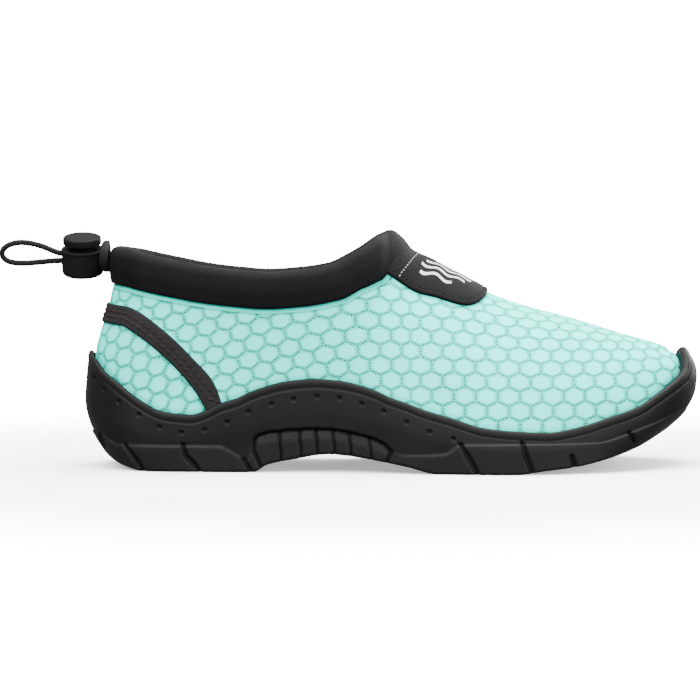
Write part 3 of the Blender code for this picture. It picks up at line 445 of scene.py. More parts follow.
# Grooves between the lugs on the sole's side, in shares of the sole's length and
# of the ledge's height, then the undercut line over the arch ribs.
SIDE_GROOVES = (
    ((0.031, 1.75), (0.038, 1.15)),
    ((0.0735, 1.30), (0.088, 0.72), (0.106, -0.10)),
    ((0.166, 1.40), (0.170, 0.83), (0.184, 0.40), (0.197, -0.15)),
    ((0.262, 0.66), (0.270, 0.25), (0.276, -0.15)),
    ((0.606, 1.50), (0.620, 0.80), (0.636, -0.15)),
    ((0.703, 1.62), (0.708, 1.00), (0.722, -0.15)),
    ((0.781, 0.95), (0.792, -0.15)),
    ((0.876, 2.00), (0.884, 1.50)),
)
ARCH_LINE = (
    (0.289, 0.30),
    (0.279, 1.06),
    (0.280, 1.66),
    (0.285, 1.86),
    (0.302, 2.02),
    (0.335, 2.13),
    (0.370, 2.20),
    (0.405, 2.17),
    (0.432, 2.02),
    (0.467, 1.76),
    (0.486, 1.48),
    (0.497, 1.12),
    (0.490, 0.60),
)
RIB_GAPS = (0.319, 0.351, 0.377, 0.404, 0.430, 0.462)
RIB_SLANT = 0.0008
TREAD_GROOVES = (0.107, 0.196, 0.274, 0.600, 0.638, 0.680, 0.724, 0.793, 0.845)
TREAD_CHANNELS = (
    ((0.13, 0.0), (0.27, 0.0)),
    ((0.59, -0.13), (0.80, -0.10)),
    ((0.59, 0.17), (0.80, 0.20)),
)
# Pits in the sole's side: x from its back and height, both in millimetres
PITS = (
    (4.7, 35.9),
    (9.0, 31.4),
    (15.2, 26.9),
    (23.3, 22.2),
    (31.4, 17.5),
    (40.1, 15.4),
    (49.1, 16.5),
    (57.8, 19.5),
    (66.2, 23.6),
    (75.2, 26.6),
    (83.8, 28.5),
    (93.0, 29.6),
    (101.7, 29.0),
    (110.3, 26.9),
    (118.8, 24.0),
    (127.7, 19.8),
    (136.5, 16.2),
    (145.7, 13.6),
)
PIT_RADIUS = 0.00095
# Route of the cord in the lock's frame: both strands inside, and the loop behind
CORD_LOOP = (
    (-0.0125, 0.0047),
    (-0.0155, 0.0060),
    (-0.0198, 0.0073),
    (-0.0246, 0.0078),
    (-0.0286, 0.0070),
    (-0.0311, 0.0054),
    (-0.0321, 0.0033),
    (-0.0312, 0.0011),
    (-0.0288, -0.0003),
    (-0.0246, -0.0008),
    (-0.0198, -0.0006),
    (-0.0155, -0.0002),
    (-0.0125, 0.0001),
)

# Place, size and power of each lamp
LAMPS = (
    ("key_lamp", (-0.7, -1.2, 1.1), 1.0, 75.0),
    ("fill_lamp", (1.1, -1.2, 0.6), 1.2, 45.0),
    ("back_lamp", (1.0, 1.3, 0.7), 1.0, 45.0),
    ("top_lamp", (0.05, 0.1, 1.6), 1.4, 150.0),
)
ROOM_LIGHT = 0.6
# The floor is plain this far from the shoe, and glows fully from the second radius
GLOW_REACH = (0.15, 0.42)
# Faint glow of the floor near the shoe: painted light that lifts the shoe's shadow, in place of light
# bounced off the floor
NEAR_GLOW = 0.03
# Radii of the floor's flat rings, then the radius of the bend up to its rim
FLOOR_RADII = (0.001, 0.4, 1.2)
SWEEP_START = 2.0
SWEEP_RADIUS = 1.0
SWEEP_RIM = (3.0, 4.0)
# Point that the camera looks at, and how steeply it looks down
AIM = Vector((-0.0167, 0.0, 0.046))
CAMERA_TILT = radians(3)
SENSOR_WIDTH = 36.0

# The last

FAN_REACH = 1.2
HEEL_POWER = 2.2
TOE_POWER = 2.3
# Steps over which slopes are measured, and the lowest share up for a direction
ANGLE_STEP = 0.012
UP_STEP = 0.01
LOWEST_UP = 0.02
HEEL_END = SOLE_WALL + GAP
TOE_END = SOLE_LENGTH - TOE_BUMPER - GAP
RIDGE_END = RIDGE["height"][-1] * INSTEP_HEIGHT


def last_x(angle):
    """Distance from the back of the sole to a column of the last."""
    return HEEL_END + (TOE_END - HEEL_END) * (1 - np.cos(angle)) / 2


def angle_at(x):
    """Angle of the column of the last that stands at x."""
    share = (np.asarray(x) - HEEL_END) / (TOE_END - HEEL_END)
    return 2 * np.arcsin(np.sqrt(np.clip(share, 0.0, 1.0)))


def fan(angle, up):
    """How far back a column leans on its way up, so that columns spread at the toe."""
    apart = np.pi - np.abs(angle)
    return TOE_FAN * apart * np.clip(1 - apart / FAN_REACH, 0.0, None) ** 2 * up * up


def by_length(rows, column, size=1.0):
    """A function of x for a table's column, in the size's own unit."""
    curve = Curve(rows["along"] * SOLE_LENGTH, rows[column])
    return lambda x: curve(x) * size


def by_angle(rows, column, size=1.0):
    """The same for an edge that turns round heel and toe, where x hardly moves."""
    curve = Curve(angle_at(rows["along"] * SOLE_LENGTH), rows[column])
    return lambda angle: curve(np.abs(angle)) * size


PLAN_SIDE = {
    side: Curve(PLAN["along"] * SOLE_LENGTH, PLAN["width"] * PLAN[name])
    for side, name in ((OUTER, "outer"), (INNER, "inner"))
}
centre_line = by_length(CENTRE, "swing", TOE_SWING)
footbed = by_length(FOOTBED, "height", FOOTBED_HEIGHT)
ridge_share = by_length(RIDGE, "height")
fullness = by_length(FULLNESS, "power")
heel_bevel = by_length(UNDERSIDE, "heel", HEEL_BEVEL)
arch_lift = by_length(UNDERSIDE, "arch", ARCH_LIFT)
toe_spring = by_length(UNDERSIDE, "toe", TOE_SPRING)
ledge_height = by_length(LEDGE, "height", LEDGE_HEIGHT)
ledge_step = by_length(LEDGE, "step", LUG_STEP)
sole_edge = by_angle(SOLE_EDGE, "height", SIDE_HEIGHT)
rim_rise = by_angle(COLLAR_RIM, "rise")
tape_height = by_length(HEEL_TAPE, "height", HEEL_HEIGHT)
tab_drop = by_length(INSTEP_TAB, "drop", TAB_DROP)
heel_lean = Curve(HEEL_PROFILE["height"], HEEL_PROFILE["lean"])
toe_lean = Curve(TOE_PROFILE["height"], TOE_PROFILE["lean"])


def blend(first, second, share):
    """Straight line from first to second: first plus the share of the way."""
    return first + (second - first) * share


def ease(value, low, high):
    """0 below low, 1 above high, and a smooth step between them."""
    t = np.clip((value - low) / (high - low), 0.0, 1.0)
    return t * t * (3 - 2 * t)


def crown(x):
    """Height of the ridge of the foot."""
    forward = np.clip((x / SOLE_LENGTH - THROAT) / (1 - THROAT), 0.0, 1.0)
    return ridge_share(x) * INSTEP_HEIGHT + (TOE_HEIGHT - RIDGE_END) * forward


def underside(x):
    """Height of the bottom of the sole."""
    return heel_bevel(x) + arch_lift(x) + toe_spring(x)


def rim_height(angle):
    """Height of the collar's rim."""
    end = np.where(np.abs(angle) < angle_at(DIP * SOLE_LENGTH), HEEL_HEIGHT, INSTEP_HEIGHT)
    return COLLAR_DIP_HEIGHT + (end - COLLAR_DIP_HEIGHT) * rim_rise(angle)


def end_rounding(x):
    """1 along the foot, down to 0 at the ends of the last, as in a rounded plan."""
    heel = np.clip(1 - (x - HEEL_END) / HEEL_ROUND, 0.0, 1.0)
    toe = np.clip(1 - (TOE_END - x) / TOE_ROUND, 0.0, 1.0)
    return (1 - heel**HEEL_POWER) ** (1 / HEEL_POWER) * (1 - toe**TOE_POWER) ** (1 / TOE_POWER)


def heel_near(x):
    """1 at the back, fading over the length of the heel's rounding."""
    return np.clip(1 - (x - HEEL_END) / (2 * HEEL_ROUND), 0.0, None) ** 2


def toe_near(x):
    """1 at the front, fading over the length of the toe's rounding."""
    return np.clip(1 - (TOE_END - x) / TOE_ROUND, 0.0, None) ** 2


def last_point(angle, up):
    """Point on the fabric's outer surface. Past the ridge it is the other side's.

    Each column is a quarter of a superellipse, from the footbed's edge up to the
    ridge, in a plane across the foot. Heel and toe lean in by their profiles.
    """
    angle, up = np.broadcast_arrays(np.asarray(angle, float), np.asarray(up, float))
    over = up > 1
    angle, up = np.where(over, -angle, angle), np.where(over, 2 - up, up)
    angle = (angle + np.pi) % TAU - np.pi + np.where(angle == np.pi, TAU, 0.0)
    inner = angle >= 0
    x = last_x(angle) - fan(angle, up)
    power = 2 / fullness(x)
    turn = np.clip(up, 0.0, 1.0) * np.pi / 2
    z = footbed(x) + (crown(x) - footbed(x)) * np.sin(turn) ** power
    plan = np.where(inner, PLAN_SIDE[INNER](x), PLAN_SIDE[OUTER](x))
    half = (plan - SOLE_WALL - GAP - LUG_STEP) * end_rounding(x)
    y = centre_line(x) + np.where(inner, 1, -1) * half * np.clip(np.cos(turn), 0.0, 1.0) ** power
    lean = heel_near(x) * HEEL_LEAN * heel_lean(z / HEEL_HEIGHT)
    back = toe_near(x) * TOE_LEAN * toe_lean(z / TOE_HEIGHT)
    return np.stack((x + lean - back, y, z), axis=-1)


def up_at(angle, z):
    """Share up at which a column of the last reaches a height."""
    up = np.full(np.broadcast(angle, z).shape, 0.5)
    for _ in range(12):
        x = last_x(angle) - fan(angle, up)
        share = np.clip((z - footbed(x)) / (crown(x) - footbed(x)), 0.0, 1.0)
        up = np.arcsin(share ** (fullness(x) / 2)) * 2 / np.pi
    return up


def slopes(angle, up):
    """How the surface moves with the angle and with the share up."""
    low, high = np.clip(up - UP_STEP, 0.0, None), up + UP_STEP
    ahead, behind = last_point(angle + ANGLE_STEP, up), last_point(angle - ANGLE_STEP, up)
    upward = last_point(angle, high) - last_point(angle, low)
    return (ahead - behind) / (2 * ANGLE_STEP), upward / (high - low)[..., None]


def unit(vectors):
    """Vectors divided by their lengths."""
    return vectors / np.linalg.norm(vectors, axis=-1, keepdims=True)


def normal(angle, up):
    """Outward direction: the surface's two slopes crossed."""
    angle, up = np.broadcast_arrays(np.asarray(angle, float), np.asarray(up, float))
    along, upward = slopes(angle, np.clip(up, LOWEST_UP, None))
    return unit(np.cross(upward, along))


def off_last(angle, up, distance):
    """Point at a distance outside the fabric's outer surface, or inside below 0."""
    return last_point(angle, up) + normal(angle, up) * np.asarray(distance)[..., None]


def walk(angle, up, vector, steps=4):
    """The place that lies a vector further, measured along the surface.

    Each step solves for the changes of angle and share up whose sum of slopes is
    the step's part of the vector, by least squares.
    """
    part = vector / steps
    for _ in range(steps):
        along, upward = slopes(angle, up)
        aa, uu = (along * along).sum(-1), (upward * upward).sum(-1)
        au, pa = (along * upward).sum(-1), (part * along).sum(-1)
        pu = (part * upward).sum(-1)
        det = aa * uu - au * au
        angle = angle + (pa * uu - pu * au) / det
        up = up + (pu * aa - pa * au) / det
    return angle, up


def path_lengths(points):
    """Length of a path up to each of its points."""
    steps = np.linalg.norm(np.diff(points, axis=0), axis=-1)
    return np.concatenate(([0.0], np.cumsum(steps)))


def rim_side(side, count):
    """Places along the rim from the heel to the throat, evenly spaced."""
    throat, fine = angle_at(THROAT * SOLE_LENGTH), 600
    share = np.linspace(0, 1, fine + 1)
    angle = side * throat * (1 - (1 - share) ** 2)
    up = up_at(angle, rim_height(angle))
    up[-1] = 1.0
    lengths = path_lengths(last_point(angle, up))
    want = np.linspace(0, lengths[-1], count + 1)
    return np.interp(want, lengths, angle), np.interp(want, lengths, up)


def rim_ring():
    """Rim places right round: heel, outer side, throat, inner side."""
    (outer_angle, outer_up), (inner_angle, inner_up) = (
        rim_side(side, RIM_STEPS) for side in (OUTER, INNER)
    )
    angle = np.concatenate((outer_angle, inner_angle[-2:0:-1]))
    return angle, np.concatenate((outer_up, inner_up[-2:0:-1]))


RIM = rim_ring()


def rim_down():
    """Direction square to the rim along the surface, at each station."""
    angle, up = RIM
    points = last_point(angle, up)
    tangent = unit(np.roll(points, -1, axis=0) - np.roll(points, 1, axis=0))
    down = unit(np.cross(normal(angle, up), tangent))
    down = np.where(down[:, 2:] > 0, -down, down)
    ahead = walk(angle[RIM_STEPS], up[RIM_STEPS], down[RIM_STEPS] * 0.001)
    forward = slopes(np.array(ahead[0]), np.array(ahead[1]))[0]
    down[RIM_STEPS] = unit(forward * np.sign(forward[0]))
    return down


DOWN = rim_down()


def below_rim(distance):
    """Places at a distance from the rim, square to it, at every station."""
    return walk(*RIM, DOWN * distance, steps=6)


# Meshes


def surface(name, points, around=False, across=False, maps=None, values=None, skip=None):
    """Mesh object of a grid of points in the heel frame, with its UV maps and values.

    around and across join the last row or column to the first. A map is a grid of
    pairs that may have one more row or column than the points where the grid closes.
    skip marks the squares that are left out.
    """
    rows, columns = points.shape[:2]
    index = np.arange(rows * columns).reshape(rows, columns)
    if around:
        index = np.vstack((index, index[:1]))
    if across:
        index = np.hstack((index, index[:, :1]))
    corners = (index[:-1, :-1], index[1:, :-1], index[1:, 1:], index[:-1, 1:])
    kept = np.ones(corners[0].shape, bool) if skip is None else ~skip
    quads = np.stack(corners, axis=-1)[kept]
    mesh = bpy.data.meshes.new(name)
    mesh.from_pydata(points.reshape(-1, 3) + ROW_SHIFT, [], quads.tolist())
    place = np.arange(index.size).reshape(index.shape)
    spots = (place[:-1, :-1], place[1:, :-1], place[1:, 1:], place[:-1, 1:])
    loops = np.stack(spots, axis=-1)[kept].reshape(-1)
    for label, pairs in (maps or {}).items():
        pairs = np.asarray(pairs)
        if around and pairs.shape[0] == rows:
            pairs = np.vstack((pairs, pairs[:1]))
        if across and pairs.shape[1] == columns:
            pairs = np.hstack((pairs, pairs[:, :1]))
        layer = mesh.uv_layers.new(name=label)
        layer.data.foreach_set("uv", pairs.reshape(-1, 2)[loops].reshape(-1))
    for label, amounts in (values or {}).items():
        attribute = mesh.attributes.new(label, "FLOAT", "POINT")
        attribute.data.foreach_set("value", np.ascontiguousarray(amounts, np.float32).reshape(-1))
    return place_object(name, mesh)


def place_object(name, mesh):
    """Object of a mesh, smooth, at the origin."""
    mesh.polygons.foreach_set("use_smooth", np.ones(len(mesh.polygons), bool))
    mesh.update()
    piece = bpy.data.objects.new(name, mesh)
    bpy.context.scene.collection.objects.link(piece)
    return piece


def clean(piece, merge=1e-6):
    """Merge points that meet, drop flat slivers and turn every face outwards."""
    mesh = bmesh.new()
    mesh.from_mesh(piece.data)
    bmesh.ops.remove_doubles(mesh, verts=mesh.verts, dist=merge)
    bmesh.ops.dissolve_degenerate(mesh, edges=mesh.edges, dist=merge)
    bmesh.ops.recalc_face_normals(mesh, faces=mesh.faces)
    mesh.to_mesh(piece.data)
    mesh.free()
    return piece


def finish_piece(piece, material, replaced=(), body="shoe"):
    """Give a piece its material and tell the frame what it is."""
    piece.data.materials.clear()
    piece.data.materials.append(material)
    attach(piece, body)
    if replaced:
        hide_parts(*replaced)
    return piece


def smooth_line(points, count):
    """Evenly spaced points of a Catmull-Rom curve through the given ones."""
    points = np.asarray(points, float)
    ends = (points[:1] * 2 - points[1:2], points, points[-1:] * 2 - points[-2:-1])
    a, b, c, d = (np.concatenate(ends)[k : k + len(points) - 1, None] for k in range(4))
    t = np.linspace(0, 1, 24, endpoint=False)[None, :, None]
    fine = 2 * b + (c - a) * t + (2 * a - 5 * b + 4 * c - d) * t**2 + (3 * b - a - 3 * c + d) * t**3
    fine = np.concatenate((fine.reshape(-1, points.shape[1]) / 2, points[-1:]))
    lengths = path_lengths(fine)
    want = np.linspace(0, lengths[-1], count)
    return np.stack([np.interp(want, lengths, column) for column in fine.T], axis=-1)


def tube(path, radius, sides):
    """Grid of rings of one radius square to a path.

    Each ring is turned so that its first point keeps to one side of the path.
    """
    ahead = unit(np.gradient(path, axis=0))
    side = unit(np.cross(ahead, np.broadcast_to((0.0, 1.0, 0.0), ahead.shape)))
    rise = np.cross(side, ahead)
    turn = np.linspace(0, TAU, sides, endpoint=False)[None, :, None]
    return path[:, None] + radius * (np.cos(turn) * side[:, None] + np.sin(turn) * rise[:, None])


STITCH_RINGS = ((-0.5, 0.0), (-0.42, 0.62), (0.0, 1.0), (0.42, 0.62), (0.5, 0.0))


def stitches(name, centre, along, out, length, width, height):
    """Threads lying on a surface: a low pill of six sides at each centre.

    A pill's ring at a share of its length is an ellipse, with the thread's width
    across and its height outwards.
    """
    across = unit(np.cross(out, along))
    turn = np.linspace(0, TAU, 6, endpoint=False)
    rings = []
    for share, size in STITCH_RINGS:
        middle = centre + along * length * share
        size = max(size, 0.02)
        wide = across[:, None] * (np.cos(turn) * width / 2 * size)[None, :, None]
        high = out[:, None] * (np.sin(turn) * height * size)[None, :, None]
        rings.append(middle[:, None] + wide + high)
    grid = np.stack(rings, axis=1)
    count, rows, sides = grid.shape[:3]
    index = np.arange(count * rows * sides).reshape(count, rows, sides)
    index = np.concatenate((index, index[:, :, :1]), axis=2)
    low, high = index[:, :-1], index[:, 1:]
    corners = (low[..., :-1], low[..., 1:], high[..., 1:], high[..., :-1])
    quads = np.stack(corners, axis=-1).reshape(-1, 4)
    mesh = bpy.data.meshes.new(name)
    caps = np.concatenate((index[:, 0, :-1][:, ::-1], index[:, -1, :-1])).tolist()
    mesh.from_pydata(grid.reshape(-1, 3) + ROW_SHIFT, [], quads.tolist() + caps)
    return clean(place_object(name, mesh), merge=1e-9)


def along_path(points, step):
    """Even spots on a path, as indices with fractions."""
    lengths = path_lengths(points)
    count = max(int(lengths[-1] / step), 1)
    want = (np.arange(count) + 0.5) * lengths[-1] / count
    return np.interp(want, lengths, np.arange(len(points)))


def sample(values, spots):
    """Rows of an array at fractional indices."""
    low = np.clip(spots.astype(int), 0, len(values) - 2)
    share = (spots - low).reshape((-1,) + (1,) * (values.ndim - 1))
    return blend(values[low], values[low + 1], share)


def stitch_row(name, angle, up, out, step, length, width, height):
    """Even stitches along a path of places on the last."""
    points = off_last(angle, up, np.full(angle.shape, out))
    spots = along_path(points, step)
    ahead = unit(np.gradient(points, axis=0))
    return stitches(
        name,
        sample(points, spots),
        unit(sample(ahead, spots)),
        unit(sample(normal(angle, up), spots)),
        length,
        width,
        height,
    )


# Shader nodes


class Nodes:
    """Short calls that add nodes to a tree and link them."""

    def __init__(self, tree):
        """Keep the tree that the nodes go into."""
        self.tree = tree

    def feed(self, socket, value):
        """Link a socket to another one, or set its value."""
        if isinstance(value, bpy.types.NodeSocket):
            self.tree.links.new(value, socket)
        elif value is not None:
            socket.default_value = value

    def add(self, kind, inputs=None, **settings):
        """New node with its settings and inputs."""
        node = self.tree.nodes.new(kind)
        for key, value in settings.items():
            setattr(node, key, value)
        for key, value in (inputs or {}).items():
            self.feed(node.inputs[key], value)
        return node

    def math(self, operation, *values, clamp=False):
        """Math node on one to three values."""
        node = self.add("ShaderNodeMath", operation=operation, use_clamp=clamp)
        for socket, value in zip(node.inputs, values):
            self.feed(socket, value)
        return node.outputs[0]

    def times(self, first, second):
        """Product of two values."""
        return self.math("MULTIPLY", first, second)

    def vector(self, operation, *values):
        """Vector math node on one or two vectors."""
        node = self.add("ShaderNodeVectorMath", operation=operation)
        for socket, value in zip(node.inputs, values):
            self.feed(socket, value)
        return node.outputs["Value" if operation in ("LENGTH", "DOT_PRODUCT") else "Vector"]

    def combine(self, value):
        """The same value on all three axes."""
        return self.add("ShaderNodeCombineXYZ", {"X": value, "Y": value, "Z": value}).outputs[0]

    def ease(self, value, low, high, start=0.0, end=1.0):
        """Smooth step from start to end as the value goes from low to high."""
        names = ("Value", "From Min", "From Max", "To Min", "To Max")
        inputs = dict(zip(names, (value, low, high, start, end)))
        node = self.add("ShaderNodeMapRange", inputs, interpolation_type="SMOOTHSTEP")
        return node.outputs["Result"]

    def mix(self, factor, first, second):
        """Mix of two colours."""
        node = self.add("ShaderNodeMix", data_type="RGBA")
        for name, value in (("Factor_Float", factor), ("A_Color", first), ("B_Color", second)):
            socket = next(s for s in node.inputs if s.identifier == name)
            self.feed(socket, value)
        return next(s for s in node.outputs if s.identifier == "Result_Color")

    def noise(self, vector, scale, detail=3.0, roughness=0.5):
        """Fractal noise from 0 to 1."""
        inputs = {"Vector": vector, "Scale": scale, "Detail": detail, "Roughness": roughness}
        return self.add("ShaderNodeTexNoise", inputs).outputs["Fac"]

    def bump(self, height, distance, strength=1.0):
        """Normal of a raised surface."""
        inputs = {"Height": height, "Distance": distance, "Strength": strength}
        return self.add("ShaderNodeBump", inputs).outputs["Normal"]

    def uv(self, name):
        """The named UV map."""
        return self.add("ShaderNodeUVMap", uv_map=name).outputs["UV"]

    def value(self, name):
        """The named value of the mesh's points."""
        return self.add("ShaderNodeAttribute", attribute_name=name).outputs["Fac"]

    def here(self):
        """Place in the object, in metres."""
        return self.add("ShaderNodeTexCoord").outputs["Object"]

    def use(self, group, **inputs):
        """Place a shader group, its inputs by name with _ for a space."""
        node = self.add("ShaderNodeGroup", node_tree=group)
        for key, value in inputs.items():
            self.feed(node.inputs[key.replace("_", " ")], value)
        return node.outputs


def shader_group(name, inputs, outputs):
    """Empty shader group with named sockets. Returns it, its nodes, input and output."""
    group = bpy.data.node_groups.new(name, "ShaderNodeTree")
    kinds = {"vector": "NodeSocketVector", "value": "NodeSocketFloat", "colour": "NodeSocketColor"}
    for label, kind, default in inputs:
        socket = group.interface.new_socket(label, in_out="INPUT", socket_type=kinds[kind])
        if default is not None:
            socket.default_value = default
    for label, kind in outputs:
        group.interface.new_socket(label, in_out="OUTPUT", socket_type=kinds[kind])
    nodes = Nodes(group)
    entry = nodes.add("NodeGroupInput").outputs
    return group, nodes, entry, nodes.add("NodeGroupOutput").inputs


def new_material(name, **settings):
    """Material with a Principled BSDF that holds the given constant settings."""
    made = bpy.data.materials.new(name)
    made.use_nodes = True
    shader = made.node_tree.nodes["Principled BSDF"]
    for key, value in settings.items():
        shader.inputs[key.replace("_", " ")].default_value = value
    return made, Nodes(made.node_tree), shader.inputs


# Dark holes of the mesh along one side of a cell
DOTS_ON_A_SIDE = 4
ROOT_3 = 3**0.5


def honeycomb_group():
    """Honeycomb of upright cells, with a width and a distance between their rows.

    The nearer centre of two offset lattices is the cell's own. The hexagon distance
    from it is the largest of |x| and |x|/2 + |y| sqrt(3)/2, in cells. The dots follow
    cos(2 pi k s), with s the share along the nearest side and k the dots on a side.
    """
    group, n, entry, out = shader_group(
        "honeycomb",
        (("Vector", "vector", None), ("Cell Width", "value", 0.0086), ("Row Height", "value", 0.0059)),
        (("Centre", "value"), ("Border", "value"), ("Dots", "value"), ("Distance", "value")),
    )
    size = (1.0, ROOT_3, 1.0)
    half = (0.5, ROOT_3 / 2, 0.0)
    tall = n.math("DIVIDE", entry["Row Height"], half[1])
    cell = n.add("ShaderNodeCombineXYZ", {"X": entry["Cell Width"], "Y": tall, "Z": 1.0})
    scaled = n.vector("DIVIDE", entry["Vector"], cell.outputs[0])
    spots = []
    for shift in ((0.0, 0.0, 0.0), half):
        moved = n.vector("ADD", scaled, shift)
        share = n.vector("FRACTION", n.vector("DIVIDE", moved, size))
        spots.append(n.vector("SUBTRACT", n.vector("MULTIPLY", share, size), half))
    flat = [n.vector("MULTIPLY", spot, (1.0, 1.0, 0.0)) for spot in spots]
    near = [n.vector("LENGTH", spot) for spot in flat]
    first = n.math("LESS_THAN", near[0], near[1])
    apart = n.vector("MULTIPLY", n.vector("SUBTRACT", *flat), n.combine(first))
    spot = n.vector("ABSOLUTE", n.vector("ADD", flat[1], apart))
    x = n.vector("DOT_PRODUCT", spot, (1.0, 0.0, 0.0))
    slanted = n.vector("DOT_PRODUCT", spot, half)
    distance = n.math("MAXIMUM", x, slanted)
    rounder = n.math("ADD", distance, n.vector("LENGTH", spot))
    upright = n.math("GREATER_THAN", x, slanted)
    along_slant = n.vector("DOT_PRODUCT", spot, (-ROOT_3 / 2, 0.5, 0.0))
    along_upright = n.vector("DOT_PRODUCT", spot, (0.0, 1.0, 0.0))
    change = n.math("SUBTRACT", along_upright, along_slant)
    along = n.math("MULTIPLY_ADD", upright, change, along_slant)
    share = n.math("MULTIPLY_ADD", along, ROOT_3, 0.5)
    wave = n.math("COSINE", n.times(share, TAU * DOTS_ON_A_SIDE))
    n.feed(out["Centre"], n.ease(rounder, 0.84, 0.64))
    n.feed(out["Border"], n.ease(distance, 0.446, 0.466))
    n.feed(out["Dots"], n.ease(wave, -0.25, 0.35))
    n.feed(out["Distance"], distance)
    return group


def knit_group():
    """Fine knit: rows of slanted loops along two axes of a map."""
    group, n, entry, out = shader_group(
        "knit",
        (("Vector", "vector", None), ("Pitch", "value", 0.0007)),
        (("Height", "value"),),
    )
    scaled = n.vector("DIVIDE", entry["Vector"], n.combine(entry["Pitch"]))
    x = n.vector("DOT_PRODUCT", scaled, (TAU, 0.0, 0.0))
    y = n.vector("DOT_PRODUCT", scaled, (0.0, TAU, 0.0))
    slant = n.times(n.math("SINE", x), 1.4)
    loops = n.math("SINE", n.math("ADD", y, slant))
    ribs = n.math("COSINE", n.times(x, 2.0))
    n.feed(out["Height"], n.math("MULTIPLY_ADD", loops, 0.5, n.times(ribs, 0.25)))
    return group


def grain_group():
    """Moulded or brushed grain: coarse and fine noise on a place."""
    group, n, entry, out = shader_group(
        "grain",
        (("Vector", "vector", None), ("Fine", "value", 1800.0), ("Coarse", "value", 60.0)),
        (("Height", "value"), ("Patches", "value")),
    )
    n.feed(out["Height"], n.noise(entry["Vector"], entry["Fine"], 2.0, 0.6))
    n.feed(out["Patches"], n.ease(n.noise(entry["Vector"], entry["Coarse"], 4.0, 0.6), 0.3, 0.7))
    return group


def wear_and_highlight_group():
    """Paler, rougher rubber along given edges: where dust and rubbing show, and as a painted highlight
    where the edges catch light.
    """
    group, n, entry, out = shader_group(
        "wear_and_highlight",
        (
            ("Colour", "colour", (0.03, 0.03, 0.03, 1.0)),
            ("Worn Colour", "colour", (0.1, 0.1, 0.1, 1.0)),
            ("Edge", "value", 0.0),
            ("Amount", "value", 0.5),
            ("Vector", "vector", None),
        ),
        (("Colour", "colour"), ("Mask", "value")),
    )
    rubbed = n.ease(n.noise(entry["Vector"], 420.0, 5.0, 0.65), 0.35, 0.65)
    mask = n.math("MULTIPLY", n.times(entry["Edge"], rubbed), entry["Amount"], clamp=True)
    n.feed(out["Colour"], n.mix(mask, entry["Colour"], entry["Worn Colour"]))
    n.feed(out["Mask"], mask)
    return group


# Upper

FABRIC_EDGE = COLLAR_BAND * 0.88
CUP_SHARES = (1 / 3, 2 / 3, 1.0)
LINING_STEP = 5
CROWDING = 1.25
# Slope of the honeycomb's rows behind the instep, and where along it fades
TILT = 0.3
TILT_FADE = (0.125, 0.075)
# Heel panel inside the tape: its end, and how its honeycomb is turned and moved
PANEL_END = 0.24 * SOLE_LENGTH
PANEL_TURN = radians(-24)
PANEL_SHIFT = 0.003


def upper_columns():
    """Angle and top of each column, from the heel round the outer side."""
    angle, up = below_rim(FABRIC_EDGE)
    throat = abs(angle[RIM_STEPS])
    share = np.arange(1, FOREFOOT_STEPS + 1) / FOREFOOT_STEPS
    front = blend(throat, np.pi, share)
    ahead = np.concatenate(([throat], front))
    angles = (angle[:RIM_STEPS], -ahead, front[-2::-1], [throat], angle[RIM_STEPS + 1 :])
    tops = (up[:RIM_STEPS], np.ones(2 * FOREFOOT_STEPS + 1), up[RIM_STEPS + 1 :])
    angles, tops = np.concatenate(angles), np.concatenate(tops)
    angles[0] = 0.0
    return angles, tops


def nearest(points, line):
    """Distance from each point of a grid to the nearest point of a line."""
    rows = [np.linalg.norm(row[:, None] - line[None], axis=-1).min(axis=1) for row in points]
    return np.array(rows)


def cloth_map(points, shares_row, edge):
    """Map of the cloth in metres: along the foot from the toe, and up from the floor.

    Up is the height of the sole's edge plus the girth above it. Behind the instep
    the rows rise towards the front: the slope at x times the height is added along,
    and the slope summed from the heel is taken off up. The heel panel is turned.
    """
    steps = np.linalg.norm(np.diff(points, axis=1), axis=-1)
    girth = np.concatenate((np.zeros((len(points), 1)), np.cumsum(steps, axis=1)), axis=1)
    up = girth - girth[:, edge : edge + 1] + points[:, edge : edge + 1, 2]
    level = np.vstack((points[:, shares_row, :2], points[:1, shares_row, :2]))
    lengths = path_lengths(level)
    along = -np.abs(lengths - lengths[len(points) // 2])
    x = np.linspace(0, SOLE_LENGTH, 400)
    slope = TILT * ease(x, *TILT_FADE)
    rise = np.concatenate(([0.0], np.cumsum((slope[1:] + slope[:-1]) / 2 * np.diff(x))))
    closed = np.vstack((points, points[:1]))
    place, height = closed[..., 0], closed[..., 2]
    up = np.vstack((up, up[:1]))
    along = along[:, None] + np.interp(place, x, slope) * (up - HEEL_HEIGHT / 2)
    up = up - np.interp(place, x, rise)
    panel = (height < tape_height(place)) & (place < PANEL_END)
    cos, sin = np.cos(PANEL_TURN), np.sin(PANEL_TURN)
    panel_along = along * cos - up * sin
    panel_up = along * sin + up * cos + PANEL_SHIFT
    return np.stack((np.where(panel, panel_along, along), np.where(panel, panel_up, up)), axis=-1)


